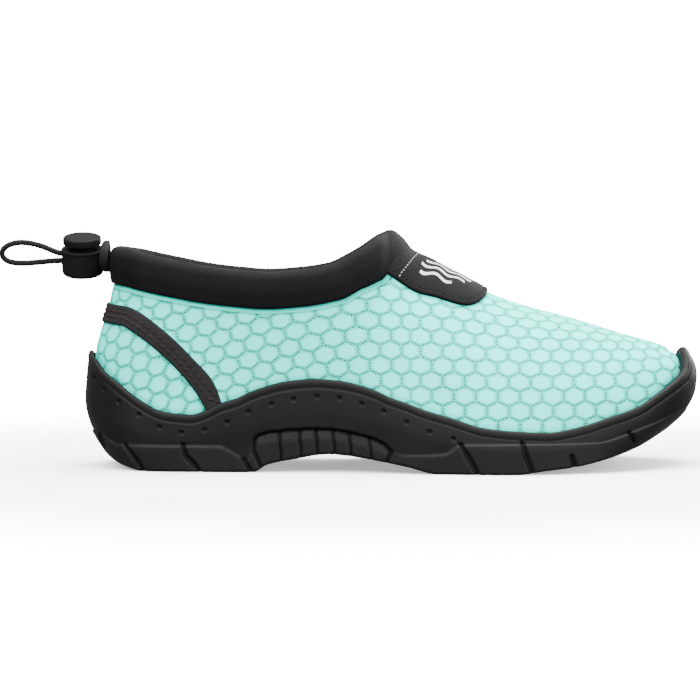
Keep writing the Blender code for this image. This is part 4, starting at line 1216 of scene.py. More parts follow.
def upper_surface():
    """Outer skin and lining of the upper as one closed wall.

    A column's rows go up outside from the footbed's edge to the top, then down
    inside. Where the columns of both sides meet on the ridge there is no edge.
    """
    angle, top = upper_columns()
    bottom = up_at(angle, footbed(last_x(angle)) + GAP)
    edge = up_at(angle, sole_edge(angle))
    free = 1 - (1 - np.arange(1, FREE_ROWS + 1) / FREE_ROWS) ** CROWDING
    shares = [bottom] + [edge * k for k in CUP_SHARES] + [blend(edge, top, k) for k in free]
    shares = np.stack(shares, axis=-1)
    across = np.broadcast_to(angle[:, None], shares.shape)
    skin = last_point(across, shares)
    kept = np.arange(shares.shape[1] - 1, -1, -LINING_STEP)
    inside = off_last(across[:, kept], shares[:, kept], np.full(kept.shape, -UPPER_WALL))
    other = (-np.arange(len(angle))) % len(angle)
    ridge = top == 1.0
    for wall, row in ((skin, -1), (inside, 0)):
        wall[ridge, row] = (wall[ridge, row] + wall[other][ridge, row]) / 2
    outer_map = cloth_map(skin, len(CUP_SHARES) + FREE_ROWS // 3, len(CUP_SHARES))
    cloth = np.concatenate((outer_map, outer_map[:, kept]), axis=1)
    rows = skin.shape[1]
    skip = np.zeros((len(angle), rows + len(kept)), bool)
    skip[:, rows - 1] = ridge & np.roll(ridge, -1)
    band = below_rim(COLLAR_BAND)
    seam = nearest(skin, off_last(*band, np.zeros(band[0].shape)))
    lip = np.linalg.norm(skin - last_point(angle[:, None], edge[:, None]), axis=-1)
    far = np.ones((len(angle), len(kept)))
    values = {
        "seam": np.concatenate((seam, far), axis=1),
        "lip": np.concatenate((lip, far), axis=1),
    }
    points = np.concatenate((skin, inside), axis=1)
    piece = surface("upper_mesh", points, True, True, {"cloth": cloth}, values, skip)
    return clean(piece)


# Collar

# Height of the collar's rounded top, in shares of half its thickness
CREST = 1.45
PAD_WAVE = 0.00012


def collar_section():
    """Section of the collar: distance below the rim and distance off the last.

    It is a pad with a half-round top, thinner at its lower edge.
    """
    middle = -UPPER_WALL / 2
    pad, hem = COLLAR_PAD / 2, COLLAR_HEM / 2
    turn = np.linspace(0, np.pi, 13)
    side = ((1.0, hem * 0.8), (0.94, hem), (0.8, pad * 0.9), (0.6, pad * 1.06), (0.44, pad * 1.08))
    outer = [(share * COLLAR_BAND, middle + out) for share, out in side]
    top = [(CREST * pad * (1 - np.sin(t)), middle + pad * 1.05 * np.cos(t)) for t in turn]
    inner = [(share * COLLAR_BAND, middle - out) for share, out in side[::-1]]
    return smooth_line(np.array(outer + top + inner), 46)


def collar_surface():
    """The section carried round the rim, with slight waves in the padding.

    The wave is a sine of 11 turns round the rim plus a weaker one of 23, and fades
    as a cosine towards the lower edge.
    """
    section = collar_section()
    station = np.arange(2 * RIM_STEPS) / (2 * RIM_STEPS) * TAU
    wave = PAD_WAVE * (np.sin(11 * station) + 0.7 * np.sin(23 * station + 1.3))
    columns = []
    for distance, out in section:
        soft = wave * np.cos(distance / COLLAR_BAND * np.pi / 2)
        columns.append(off_last(*below_rim(distance), out + soft * np.sign(out)))
    points = np.stack(columns, axis=1)
    along = path_lengths(np.vstack((points[:, 20], points[:1, 20])))
    girth = np.append(path_lengths(section), path_lengths(section)[-1] + COLLAR_HEM)
    cloth = np.stack(np.meshgrid(along, girth, indexing="ij"), axis=-1)
    return clean(surface("collar_pad", points, True, True, {"cloth": cloth}))


# Heel tape

# Shares of the tape's width at which its thread lies
TAPE_SEAMS = (0.36, 0.64)
# Step, length, width and height of the stitches
TAPE_STITCH = (0.0031, 0.0025, 0.0009, 0.00042)
EDGE_STITCH = (0.0019, 0.0015, 0.0005, 0.0003)
SEAM_STITCH = (0.0019, 0.0010, 0.0005, 0.0003)


def tape_band(angle):
    """Lower and upper height of the heel tape at a column."""
    x, step = last_x(angle), 0.6 * TAPE_WIDTH
    steep = (tape_height(x + step) - tape_height(x - step)) / (2 * step)
    half = TAPE_WIDTH / 2 * np.hypot(1, steep)
    return tape_height(x) - half, tape_height(x) + half


def tape_floor(angle):
    """Height at which the tape goes in behind the sole's lip."""
    return sole_edge(angle) - 0.3 * LIP_WALL


def tape_places(count):
    """Angles along the tape, and its lower and upper height there."""
    end = angle_at(HEEL_TAPE["along"][-1] * SOLE_LENGTH)
    tries = np.linspace(0, end, 2000)
    end = tries[np.argmax(tape_band(tries)[1] - tape_floor(tries) < 2 * FIT)]
    share = np.linspace(-1, 1, count)
    angle = end * np.abs(share) ** 0.9 * np.sign(share)
    low, high = tape_band(angle)
    return angle, np.maximum(low, tape_floor(angle)), high


TAPE_SECTION = (
    (0.0, 0.0),
    (0.0, 0.55),
    (0.04, 0.88),
    (0.12, 1.0),
    (0.3, 0.9),
    (0.42, 1.0),
    (0.5, 0.86),
    (0.58, 1.0),
    (0.7, 0.9),
    (0.88, 1.0),
    (0.96, 0.88),
    (1.0, 0.55),
    (1.0, 0.0),
)


def tape_surface():
    """Woven tape with raised edges, dented along its stitched middle."""
    angle, low, high = tape_places(220)
    columns = []
    for share, out in TAPE_SECTION:
        up = up_at(angle, blend(low, high, share))
        columns.append(off_last(angle, up, np.full(angle.shape, GAP + out * TAPE_THICKNESS)))
    points = np.stack(columns, axis=1)
    ends = [points[k].mean(axis=0) + 0 * points[k] for k in (0, -1)]
    points = np.concatenate((ends[:1], points, ends[1:]))
    along = path_lengths(points[:, 6])
    share = np.array([s for s, _ in TAPE_SECTION] + [0.0]) * TAPE_WIDTH
    weave = np.stack(np.meshgrid(along, share, indexing="ij"), axis=-1)
    return clean(surface("heel_tape_woven", points, False, True, {"weave": weave}))


def tape_stitches():
    """Two rows of thread along the middle of the heel tape."""
    angle, low, high = tape_places(300)
    pieces = []
    for share in TAPE_SEAMS:
        up = up_at(angle, blend(low, high, share))
        out = GAP + TAPE_THICKNESS * 0.92
        pieces.append(stitch_row("row", angle, up, out, *TAPE_STITCH))
    return join("heel_tape_stitches", pieces)


def join(name, pieces):
    """One object of several."""
    mesh = bmesh.new()
    for piece in pieces:
        mesh.from_mesh(piece.data)
        bpy.data.meshes.remove(piece.data)
    data = bpy.data.meshes.new(name)
    mesh.to_mesh(data)
    mesh.free()
    return place_object(name, data)


# Instep tab

# How far the tab runs in under the collar, and how far along it the white seam lies
TAB_TUCK = 0.0022
SEAM_ALONG = 0.115


def tab_edge(angle):
    """Share up of the instep tab's side edge at a column."""
    x = last_x(angle)
    return up_at(angle, crown(x) - tab_drop(x))


def tab_starts(shares):
    """Angle at which each line of the tab leaves the collar's lower edge.

    It is found by halving: the line is inside while the edge lies below it.
    """
    angle, up = below_rim(COLLAR_BAND - TAB_TUCK)
    starts = np.empty(shares.shape)
    for side in (OUTER, INNER):
        stations = RIM_STEPS - side * np.arange(64)
        front = Curve(np.abs(angle[stations])[::-1], np.clip(up[stations], 0.0, 1.0)[::-1])
        chosen = shares * side >= 0
        wanted = np.abs(shares[chosen])
        low, high = np.full(wanted.shape, front.xs[0]), np.full(wanted.shape, front.xs[-1])
        for _ in range(30):
            middle = (low + high) / 2
            inside = front(middle) < 1 - wanted * (1 - tab_edge(middle))
            low, high = np.where(inside, middle, low), np.where(inside, high, middle)
        starts[chosen] = low
    return starts


def tab_place(share, along):
    """Place on the last under the tab: share across from edge to edge, share along."""
    share, along = np.broadcast_arrays(np.asarray(share, float), np.asarray(along, float))
    side = np.where(share >= 0, 1.0, -1.0)
    starts = tab_starts(share.reshape(-1)).reshape(share.shape)
    angle = blend(starts, angle_at(TAB_TIP * SOLE_LENGTH), along)
    return side * angle, 1 - np.abs(share) * (1 - tab_edge(angle))


# Distance of the edge's thread from the edge, and the size of its dent
TAB_SEAM = 0.0021
DENT_DEPTH = 0.0003
DENT_WIDTH = 0.00045
# Length and half width of the tab, for its knit
TAB_MAP = (0.04, 0.02)


def tab_surface():
    """Padded tab, thinned towards its edge, with a stitched line parallel to it.

    The thickness rises with the root of a smooth step of the distance from the
    edge, less a bell curve where the thread pulls it in.
    """
    share = np.sin(np.linspace(-1, 1, 91) * np.pi / 2) * 0.35 + np.linspace(-1, 1, 91) * 0.65
    along = np.linspace(0, 1, 81) ** 0.85
    angle, up = tab_place(share[None], along[:, None])
    base = last_point(angle, up)
    border = np.concatenate((base[:, 0], base[::-1, -1]))
    inset = nearest(base, border)
    thick = TAB_THICKNESS * (0.45 + 0.55 * np.sqrt(ease(inset, -0.0002, 0.0011)))
    thick -= DENT_DEPTH * np.exp(-(((inset - TAB_SEAM) / DENT_WIDTH) ** 2))
    face = off_last(angle, up, FIT + thick)
    back = off_last(angle, up, np.full(angle.shape, FIT))[:, ::-1]
    points = np.concatenate((face, back), axis=1)
    start = np.concatenate((back[:1, ::-1], back[:1]), axis=1)
    points = np.concatenate((start, points))
    points[-1] = points[-1].mean(axis=0)
    cloth = np.stack(np.meshgrid(along, share, indexing="ij"), axis=-1) * TAB_MAP
    cloth = np.concatenate((cloth, cloth[:, ::-1], cloth[:, :1]), axis=1)
    cloth = np.concatenate((cloth[:1], cloth))
    piece = surface("instep_tab_padded", points, False, True, {"cloth": cloth})
    return clean(piece), base, angle, up, inset


def tab_stitches(base, angle, up, inset):
    """Dark thread on the places of each row that first lie far enough from the edge."""
    rows = []
    for side in (slice(0, 45), slice(None, 45, -1)):
        column = np.argmax(inset[:, side] > TAB_SEAM, axis=1)
        good = inset[:, side].max(axis=1) > TAB_SEAM
        picked = np.arange(len(base))[good]
        a, u = angle[:, side][picked, column[good]], up[:, side][picked, column[good]]
        rows.append(stitch_row("row", a, u, FIT + TAB_THICKNESS * 0.8, *EDGE_STITCH))
    return join("instep_tab_stitches", rows)


def seam_stitches():
    """White thread where the tab is sewn under the front of the collar."""
    share = np.linspace(-0.97, 0.97, 200)
    angle, up = tab_place(share, np.full(share.shape, SEAM_ALONG))
    return stitch_row("collar_seam_stitches", angle, up, FIT + TAB_THICKNESS, *SEAM_STITCH)


# Wave lines on one side of the tab: share across, start and end along, and width
MOTIF_LINES = (
    (0.14, 0.34, 0.82, 0.0007),
    (0.31, 0.25, 0.78, 0.0007),
    (0.48, 0.22, 0.71, 0.0007),
    (0.65, 0.25, 0.58, 0.0007),
)
WAVE_SWING = 0.04
WAVE_TURNS = 27
TAB_SPAN = 0.022
PRINT_HEIGHT = 0.00008
PRINT_ROOT = 0.0002


def motif():
    """Short printed wave lines on both sides of the tab, as thin ribbons.

    A line's share across is its middle plus a sine of the share along.
    """
    ribbons = []
    for side in (OUTER, INNER):
        for middle, start, stop, width in MOTIF_LINES:
            along = np.linspace(start, stop, 70)
            share = side * (middle + WAVE_SWING * np.sin(along * WAVE_TURNS))
            across = side * np.linspace(-1, 1, 5) * width / TAB_SPAN
            angle, up = tab_place(share[:, None] + across[None], along[:, None])
            lift = TAB_THICKNESS + FIT
            face = off_last(angle, up, np.full(angle.shape, lift + PRINT_HEIGHT))
            back = off_last(angle, up, np.full(angle.shape, lift - PRINT_ROOT))[:, ::-1]
            points = np.concatenate((face, back), axis=1)
            ends = [points[k].mean(axis=0) + 0 * points[k] for k in (0, -1)]
            points = np.concatenate((ends[:1], points, ends[1:]))
            ribbons.append(clean(surface("ribbon", points, False, True)))
    return join("instep_tab_waves", ribbons)


# Sole


def wall_full(angle):
    """Thickness of the sole's side wall below its widest line."""
    return blend(SOLE_WALL, TOE_BUMPER, toe_near(last_x(angle)))


def tuck(angle):
    """How far the wall draws in under heel and toe, down to its bottom edge."""
    x = last_x(angle)
    return HEEL_TUCK * heel_near(x) ** 2 + TOE_TUCK * toe_near(x) + EDGE_CHAMFER


def bottom_edge(angle):
    """The sole's lowest point at a column."""
    distance = GAP + wall_full(angle) + ledge_step(last_x(angle)) - tuck(angle)
    point = off_last(angle, np.zeros(angle.shape), distance)
    point[..., 2] = underside(point[..., 0])
    return point


def wall_point(angle, z, distance):
    """Point off the last at a height, also below the footbed."""
    above = z >= footbed(last_x(angle))
    up = np.where(above, up_at(angle, z), 0.0)
    point = off_last(angle, up, distance)
    point[..., 2] = np.where(above, point[..., 2], z)
    return point


def line_distance(x, z, path):
    """Distance in the side view from points to a path, and the share along it."""
    best, at = np.full(x.shape, 1.0), np.zeros(x.shape)
    for k, ((x0, z0), (x1, z1)) in enumerate(zip(path, path[1:])):
        dx, dz = x1 - x0, z1 - z0
        share = np.clip(((x - x0) * dx + (z - z0) * dz) / (dx * dx + dz * dz), 0.0, 1.0)
        distance = np.hypot(x - x0 - share * dx, z - z0 - share * dz)
        closer = distance < best
        best, at = np.where(closer, distance, best), np.where(closer, k + share, at)
    return best, at / (len(path) - 1)


def in_metres(path):
    """Points of a path given in shares of the sole's length and the ledge's height."""
    return [(along * SOLE_LENGTH, up * LEDGE_HEIGHT) for along, up in path]


# Half the height over which the wall steps out to the lugs, and over which it darkens
STEP_SOFTNESS = 0.00035
LUG_BLUR = 0.0004
# Half width of a groove at its ends, how much wider it is in the middle, and depth
GROOVE_WIDTH = 0.0007
GROOVE_SWELL = 0.0004
GROOVE_DEPTH = 0.0013
# Distances from the arch line and from a rib gap's middle: outside, and fully cut
ARCH_LINE_REACH = (0.0008, 0.0003)
RIB_GAP_REACH = (0.00075, 0.0003)
ARCH_DEPTH = 0.0007
ARCH_FADE = 0.0045
ARCH_SLANT = 0.25
RIB_DEPTH = 0.0012
PIT_DEPTH = 0.0007
# PITS and the distance to a pit that the material reads are in millimetres
MILLIMETRE = 0.001
# Where the paler edge of a lug, worn and with a painted highlight, fades in and is full, below the ledge
RUBBED_AND_LIT = (0.0022, 0.0004)


def side_relief(x, z, low):
    """How far the wall's surface lies out or in, at x and a height.

    Lug panels stand out below the ledge and grooves part them. Under the arch
    line the wall lies back, and ribs stand out of it that slanted gaps part.
    """
    shelf = np.maximum(ledge_height(x), low + 3 * EDGE_CHAMFER)
    panel = ease(z, shelf + STEP_SOFTNESS, shelf - STEP_SOFTNESS)
    relief = ledge_step(x) * panel
    groove = np.zeros(x.shape)
    for path in SIDE_GROOVES:
        distance, along = line_distance(x, z, in_metres(path))
        width = GROOVE_WIDTH + GROOVE_SWELL * np.sin(np.clip(along, 0, 1) * np.pi)
        groove = np.maximum(groove, ease(distance, width * 1.25, width * 0.5))
    arch = in_metres(ARCH_LINE)
    distance, _ = line_distance(x, z, arch)
    groove = np.maximum(groove, ease(distance, *ARCH_LINE_REACH))
    top = np.interp(x, [p[0] for p in arch[1:-1]], [p[1] for p in arch[1:-1]])
    inside = (x > arch[1][0]) & (x < arch[-2][0]) & (z < top)
    inside &= x > arch[1][0] + (arch[1][1] - z) * ARCH_SLANT
    rib = np.zeros(x.shape)
    for along in RIB_GAPS:
        start = along * SOLE_LENGTH
        lean = RIB_SLANT * ease(z, ledge_height(start), underside(start))
        rib = np.maximum(rib, ease(np.abs(x - start - lean), *RIB_GAP_REACH))
    back = ARCH_DEPTH * ease(z, top - ARCH_FADE, top)
    relief -= np.where(inside, back + RIB_DEPTH * rib, 0.0)
    depth = np.where(inside, np.maximum(groove, rib), groove)
    pit = np.full(x.shape, 1.0)
    for along, height in PITS:
        pit = np.minimum(pit, np.hypot(x - along * MILLIMETRE, z - height * MILLIMETRE))
    relief -= GROOVE_DEPTH * groove + PIT_DEPTH * ease(pit, PIT_RADIUS * 1.1, PIT_RADIUS * 0.4)
    bevel = np.clip(1 - (z - low) / EDGE_CHAMFER, 0.0, 1.0)
    relief -= EDGE_CHAMFER * (1 - np.sqrt(1 - 0.98 * bevel**2))
    # Lug rim: where the rubber is worn and has a painted highlight
    edge = panel * ease(z, shelf - RUBBED_AND_LIT[0], shelf - RUBBED_AND_LIT[1]) * (1 - groove)
    return relief, depth, pit / MILLIMETRE, edge * (ledge_step(x) > LUG_STEP / 3)


# Section of the lip's bead: distance out from the lip's outer face, and down
BEAD_SECTION = (
    (-LIP_WALL, 0.0030),
    (-LIP_WALL, 0.0012),
    (-LIP_WALL * 0.85, 0.0001),
    (-LIP_WALL * 0.45, -0.0006),
    (0.0, -0.0002),
    (BEAD_OUT * 0.8, 0.0005),
    (BEAD_OUT, 0.0012),
    (BEAD_OUT * 0.75, 0.0019),
    (0.0, BEAD_HEIGHT),
    (-0.0002, 0.0029),
)


def tread(x, y):
    """How deep the tread is cut at a place of the underside, from 0 to 1.

    It is the deepest of smooth steps of the distance from each groove and channel.
    """
    depth = np.zeros(x.shape)
    for along in TREAD_GROOVES:
        distance = np.abs(x - along * SOLE_LENGTH)
        depth = np.maximum(depth, ease(distance, TREAD_WIDTH * 0.62, TREAD_WIDTH * 0.35))
    for (start, left), (stop, right) in TREAD_CHANNELS:
        share = np.clip((x / SOLE_LENGTH - start) / (stop - start), 0.0, 1.0)
        middle = blend(left, right, share) * BALL_WIDTH
        within = ease(np.abs(y - middle), TREAD_WIDTH * 0.9, TREAD_WIDTH * 0.4)
        ends = ease(x / SOLE_LENGTH, start - 0.004, start) * ease(x / SOLE_LENGTH, stop + 0.004, stop)
        depth = np.maximum(depth, 0.8 * within * ends)
    return depth


def sole_columns():
    """Angles of the columns, evenly spaced in plan, the same on both sides."""
    fine = np.linspace(0, np.pi, 4000)
    lengths = sum(
        path_lengths(off_last(side * fine, np.zeros(fine.shape), np.full(fine.shape, SOLE_WALL)))
        for side in (OUTER, INNER)
    )
    half = np.interp(np.linspace(0, lengths[-1], SOLE_STEPS + 1), lengths, fine)
    return np.concatenate((-half, half[-2:0:-1]))


# How much thicker the lip is at the toe, as a share, and how far the bumper swells
# above its widest line
LIP_SWELL = 0.75
TOE_SWELL = 0.0005
# Height of the wall's widest line, as a share of the wall, and how much more at the toe
WIDEST = (0.55, 0.1)
# How fast the wall thins towards the lip: a power, and how much more at the toe
THINNING = (1.3, 2.2)
# Distance that stands for nowhere near a pit, in millimetres
NO_PIT = 9.0


def sole_lip(angle, top, toe):
    """Inside of the cup, then the lip's bead, as rows of points off the last.

    The bead's section is measured down from the sole's edge, by the height that the
    last's surface gains for each share up.
    """
    rise = np.linalg.norm(slopes(angle, top)[1], axis=-1)
    rows = [off_last(angle, top * share, np.full(angle.shape, GAP)) for share in (0.0, 0.5)]
    for out, down in smooth_line(BEAD_SECTION, 15):
        up = np.clip(top - down / rise, top * 0.5, 1.0)
        rows.append(off_last(angle, up, GAP + (LIP_WALL + out) * (1 + LIP_SWELL * toe)))
    return rows


def sole_wall(angle, start, low, toe):
    """Side wall from a starting height down to the bottom edge, and its values.

    Above its widest line the wall thins to the lip by a power of the height. Below
    it, the wall draws in by the square of the depth. The relief is added last.
    """
    edge = sole_edge(angle)
    widest = blend(low, edge, WIDEST[0] + WIDEST[1] * toe)[:, None]
    toe, low, edge = toe[:, None], low[:, None], edge[:, None]
    height = blend(start[:, None], low, np.linspace(0, 1, WALL_ROWS + 1)[1:])
    wide, narrow = wall_full(angle)[:, None], (tuck(angle) - EDGE_CHAMFER)[:, None]
    above = np.clip((height - widest) / (edge - widest), 0.0, 1.0)
    below = np.clip((widest - height) / (widest - low), 0.0, 1.0)
    thinner = above ** (THINNING[0] + THINNING[1] * toe)
    swell = TOE_SWELL * toe * np.sin(np.clip(above * 1.15, 0.0, 1.0) * np.pi)
    lip = LIP_WALL * (1 + LIP_SWELL * toe)
    base = GAP + wide + (lip - wide) * thinner + swell - narrow * below**2
    spread = np.broadcast_to(angle[:, None], height.shape)
    x = wall_point(spread, height, base)[..., 0]
    relief, groove, pit, rim = side_relief(x, height, low)
    shelf = ledge_height(x)
    lug = ease(height, shelf + LUG_BLUR, shelf - LUG_BLUR)
    values = {"groove": groove, "pit": pit, "rim": rim, "lug": lug}
    return wall_point(spread, height, base + relief), values


def sole_underside(start, middle):
    """Tread from the bottom edge in to the middle line, and how deep it is cut."""
    inward = np.linspace(0, 1, TREAD_ROWS + 1)[1:]
    under = blend(start[:, None], middle[:, None], inward[:, None])
    depth = tread(under[..., 0], under[..., 1])
    under[..., 2] = underside(under[..., 0]) + depth * TREAD_DEPTH
    return under, depth


def sole_surface():
    """The sole: inside of the cup, lip, side wall and tread, one column at a time.

    Each column starts on the cup's middle line and ends on the tread's, where it
    meets the column of the other side.
    """
    angle = sole_columns()
    top = up_at(angle, sole_edge(angle))
    toe = toe_near(last_x(angle))
    edge = bottom_edge(angle)
    across = -np.arange(len(angle)) % len(angle)
    middle_x = (edge[:, 0] + edge[across, 0]) / 2
    middle = np.stack((middle_x, centre_line(middle_x), underside(middle_x)), axis=-1)
    lip = sole_lip(angle, top, toe)
    wall, values = sole_wall(angle, lip[-1][:, 2], edge[:, 2], toe)
    under, depth = sole_underside(wall[:, -1], middle)
    level = (lip[0][:, 2] + lip[0][across, 2]) / 2
    floor = np.stack((middle_x, centre_line(middle_x), level), axis=-1)
    points = np.concatenate((np.stack([floor] + lip, axis=1), wall, under), axis=1)
    lead = len(lip) + 1

    def pad(grid, first, last):
        """A value of the wall, carried on over the rows before and after it."""
        return np.pad(grid, ((0, 0), (lead, TREAD_ROWS)), constant_values=(first, last))

    bead = np.zeros(points.shape[:2])
    bead[:, 3:lead] = 1.0
    carried = {
        "pit": pad(values["pit"], NO_PIT, NO_PIT),
        "groove": np.concatenate((pad(values["groove"], 0.0, 0.0)[:, :-TREAD_ROWS], depth), axis=1),
        "rim": pad(values["rim"], 0.0, 0.0),
        "bead": bead,
        "lug": pad(values["lug"], 0.0, 1.0),
    }
    return clean(surface("sole_moulded", points, True, False, None, carried), merge=2e-6)


# Insole

# Rise of the insole's edge, and how far its corner is rounded off
INSOLE_DISH = 0.0016
INSOLE_ROUND = 0.0009


def insole_surface():
    """Footbed with a raised edge, inside the upper.

    Across the foot the edge rises by the 6th power of the share from the middle,
    less the 40th power, which rounds its corner.
    """
    half = np.linspace(0, np.pi, 160)
    edges = [
        off_last(side * half, np.zeros(half.shape), np.full(half.shape, -(UPPER_WALL + FIT)))
        for side in (OUTER, INNER)
    ]
    share = np.linspace(0, 1, 41)
    face = blend(edges[0][:, None], edges[1][:, None], share[:, None])
    low = footbed(last_x(half))[:, None] + GAP
    dish = INSOLE_DISH * np.abs(2 * share - 1) ** 6
    round_off = INSOLE_ROUND * np.abs(2 * share - 1) ** 40
    face[..., 2] = low + INSOLE_THICKNESS - GAP + dish - round_off
    under = face[:, ::-1].copy()
    under[..., 2] = low
    points = np.concatenate((face, under), axis=1)
    flat = points[..., :2]
    flat = np.concatenate((flat, flat[:, :1]), axis=1)
    return clean(surface("insole_padded", points, False, True, {"cloth": flat}), merge=1e-5)


# Cord lock, in its own frame: z along the barrel, x away from the loop


def lock_frame():
    """The lock's own frame in the row frame: moved, after leaning about x."""
    return Matrix.Translation(LOCK_MIDDLE) @ Matrix.Rotation(LOCK_LEAN, 4, "X")


def strand_heights():
    """Heights of the cord's two strands above the barrel's middle."""
    upper = BARREL_HEIGHT / 2 - BARREL_RIM - GAP - CORD_DIAMETER / 2
    return upper, upper - STRAND_SPACING


# Points on a rounded corner
CORNER_POINTS = 5


def rounded(profile, radius):
    """Profile of (radius, z) points with its inner corners rounded.

    A corner becomes a quadratic Bezier curve that starts and ends a reach from it.
    """
    profile = np.array(profile, float)
    out = [profile[0]]
    for before, corner, after in zip(profile, profile[1:], profile[2:]):
        reach = [min(radius, np.linalg.norm(end - corner) * 0.45) for end in (before, after)]
        start = corner + unit(before - corner) * reach[0]
        stop = corner + unit(after - corner) * reach[1]
        t = np.linspace(0, 1, CORNER_POINTS)[:, None]
        out.extend((1 - t) ** 2 * start + 2 * t * (1 - t) * corner + t * t * stop)
    return np.array(out + [profile[-1]])


def turned(name, profile):
    """Profile turned about z in the lock's frame, less the shift that surface adds."""
    turn = np.linspace(0, TAU, TURN_STEPS, endpoint=False)
    radius, z = profile.T
    shape = (TURN_STEPS, len(profile))
    x, y = np.cos(turn)[:, None] * radius, np.sin(turn)[:, None] * radius
    points = np.stack((x, y, np.broadcast_to(z, shape)), axis=-1)
    around = np.concatenate((turn, [TAU])) * BARREL_DIAMETER / 2
    along = path_lengths(profile)
    side = np.stack(np.meshgrid(around, along, indexing="ij"), axis=-1)
    return clean(surface(name, points - ROW_SHIFT, True, False, {"side": side}))


def slot_cutter(extra=0.0):
    """Closed bar in the shape of the hole for both strands.

    Its ring is two half circles round the strands, joined by straight sides.
    """
    high, low = strand_heights()
    radius, half = CORD_DIAMETER / 2 + GAP, LOCK_REACH + CORD_TAB_DEPTH
    turn = np.linspace(0, TAU, 32, endpoint=False) + np.pi / 32
    middle = np.where(np.sin(turn) > 0, high + extra, low)
    y, z = radius * np.cos(turn), middle + radius * np.sin(turn)
    ring = np.stack((np.zeros(32), y, z), axis=-1)
    centre = ring.mean(axis=0) + 0 * ring
    shift = np.array((half, 0, 0))
    grid = np.stack((centre - shift, ring - shift, ring + shift, centre + shift))
    return clean(surface("slot_cutter", grid - ROW_SHIFT, False, True))


def cut(piece, cutters, sharp=35):
    """Cut closed shapes out of a piece and remove them."""
    for cutter in cutters:
        boolean = piece.modifiers.new("cut", "BOOLEAN")
        boolean.operation = "DIFFERENCE"
        boolean.solver = "EXACT"
        boolean.object = cutter
    bpy.context.view_layer.update()
    graph = bpy.context.evaluated_depsgraph_get()
    mesh = bpy.data.meshes.new_from_object(piece.evaluated_get(graph))
    piece.modifiers.clear()
    piece.data = mesh
    for cutter in cutters:
        bpy.data.objects.remove(cutter)
    mesh.set_sharp_from_angle(angle=radians(sharp))
    return piece


# Height of the barrel's rolled lip
BARREL_LIP = 0.0011


def barrel_surface():
    """Barrel turned about z, open above for the button and cut by the strands' hole."""
    radius, bore, half = BARREL_DIAMETER / 2, STEM_DIAMETER / 2 + GAP, BARREL_HEIGHT / 2
    profile = [
        (0, BARREL_FLOOR - half),
        (bore, BARREL_FLOOR - half),
        (bore, half - 0.0007),
        (bore + 0.0006, half - 0.0007),
        (radius - 0.0009, half),
        (radius, half - 0.0002),
        (radius, half - BARREL_LIP),
        (radius - 0.0003, half - BARREL_LIP - 0.0002),
        (radius - 0.0001, 0.0),
        (radius - 0.0003, BARREL_LIP - half),
        (radius - 0.0012, -half),
        (radius * 0.62, -half),
        (radius * 0.6, 0.0002 - half),
        (0, 0.0002 - half),
    ]
    return cut(turned("cord_lock_barrel_turned", rounded(profile, 0.0005)), [slot_cutter()])


def button_surface():
    """Button turned about z: a flat domed head on a stem that the strands cross."""
    radius, stem = BUTTON_DIAMETER / 2, STEM_DIAMETER / 2
    under = BARREL_HEIGHT / 2 + BUTTON_TRAVEL + GAP
    foot = strand_heights()[1] - CORD_DIAMETER / 2 - GAP - BARREL_FLOOR
    top = under + BUTTON_HEAD
    profile = [
        (0, top + BUTTON_DOME),
        (0.6 * radius, top + 0.97 * BUTTON_DOME),
        (0.93 * radius, top + 0.85 * BUTTON_DOME),
        (0.99 * radius, top + 0.4 * BUTTON_DOME),
        (radius, top - 0.3 * BUTTON_HEAD),
        (0.99 * radius, under + 0.1 * BUTTON_HEAD),
        (0.95 * radius, under),
        (stem, under),
        (stem, foot),
        (0, foot),
    ]
    return cut(turned("cord_lock_button_turned", rounded(profile, 0.0006)), [slot_cutter(BUTTON_TRAVEL)])


def set_in_lock(piece):
    """Put a piece made in the lock's frame into the row frame, in its mesh."""
    piece.data.transform(lock_frame())
    return piece


# How much narrower the eyelet is at the lock than at the collar
NECK = 0.3
# How far the eyelet's middle lies behind the collar, and below the heel's height
EYELET_BACK = 0.15 * CORD_TAB_DEPTH
EYELET_DROP = 0.67 * 0.0061


def cord_tab_surface():
    """Rubber eyelet: an ellipsoid cut flat by the collar and hollowed by the barrel."""
    up = np.linspace(0, np.pi, 33)
    turn = np.linspace(0, TAU, 64, endpoint=False)
    size = np.array((CORD_TAB_DEPTH, CORD_TAB_WIDTH / 2, CORD_TAB_HEIGHT / 2))
    back = COLLAR_BACK - GAP
    middle = np.array((back - EYELET_BACK, 0, HEEL_HEIGHT - EYELET_DROP))
    ball = np.stack(
        (
            np.cos(turn)[:, None] * np.sin(up),
            np.sin(turn)[:, None] * np.sin(up) * (1 + NECK * np.minimum(np.cos(turn), 0.0))[:, None],
            np.broadcast_to(np.cos(up), (64, 33)),
        ),
        axis=-1,
    )
    tab = clean(surface("cord_tab_moulded", ball * size + middle, True))
    far = CORD_TAB_WIDTH
    square = np.array([(0, -far, -far), (0, far, -far), (0, far, far), (0, -far, far)])
    ends = (square * 0, square, square + (far, 0, 0), square * 0 + (far, 0, 0))
    front = clean(surface("front_cutter", np.stack(ends) + (back, 0, HEEL_HEIGHT), False, True))
    radius, half = BARREL_DIAMETER / 2 + FIT * 0.8, 1.5 * BARREL_HEIGHT
    cradle = turned("cradle_cutter", np.array([(0, half), (radius, half), (radius, -half), (0, -half)]))
    return cut(tab, [front, set_in_lock(cradle), set_in_lock(slot_cutter())], sharp=40)


def cord_path():
    """Points of the cord in the row frame: in by one strand, out by the other."""
    high, low = strand_heights()
    reach = LOCK_REACH - 2 * GAP
    inside = [share * reach for share in (1.0, 0.5, 0.0, -0.5, -0.85)]
    route = [(x, high) for x in inside] + list(CORD_LOOP) + [(x, low) for x in inside[::-1]]
    flat = smooth_line(np.array([(x, 0.0, z) for x, z in route]), 121)
    turn = np.array(lock_frame())
    return flat @ turn[:3, :3].T + turn[:3, 3]


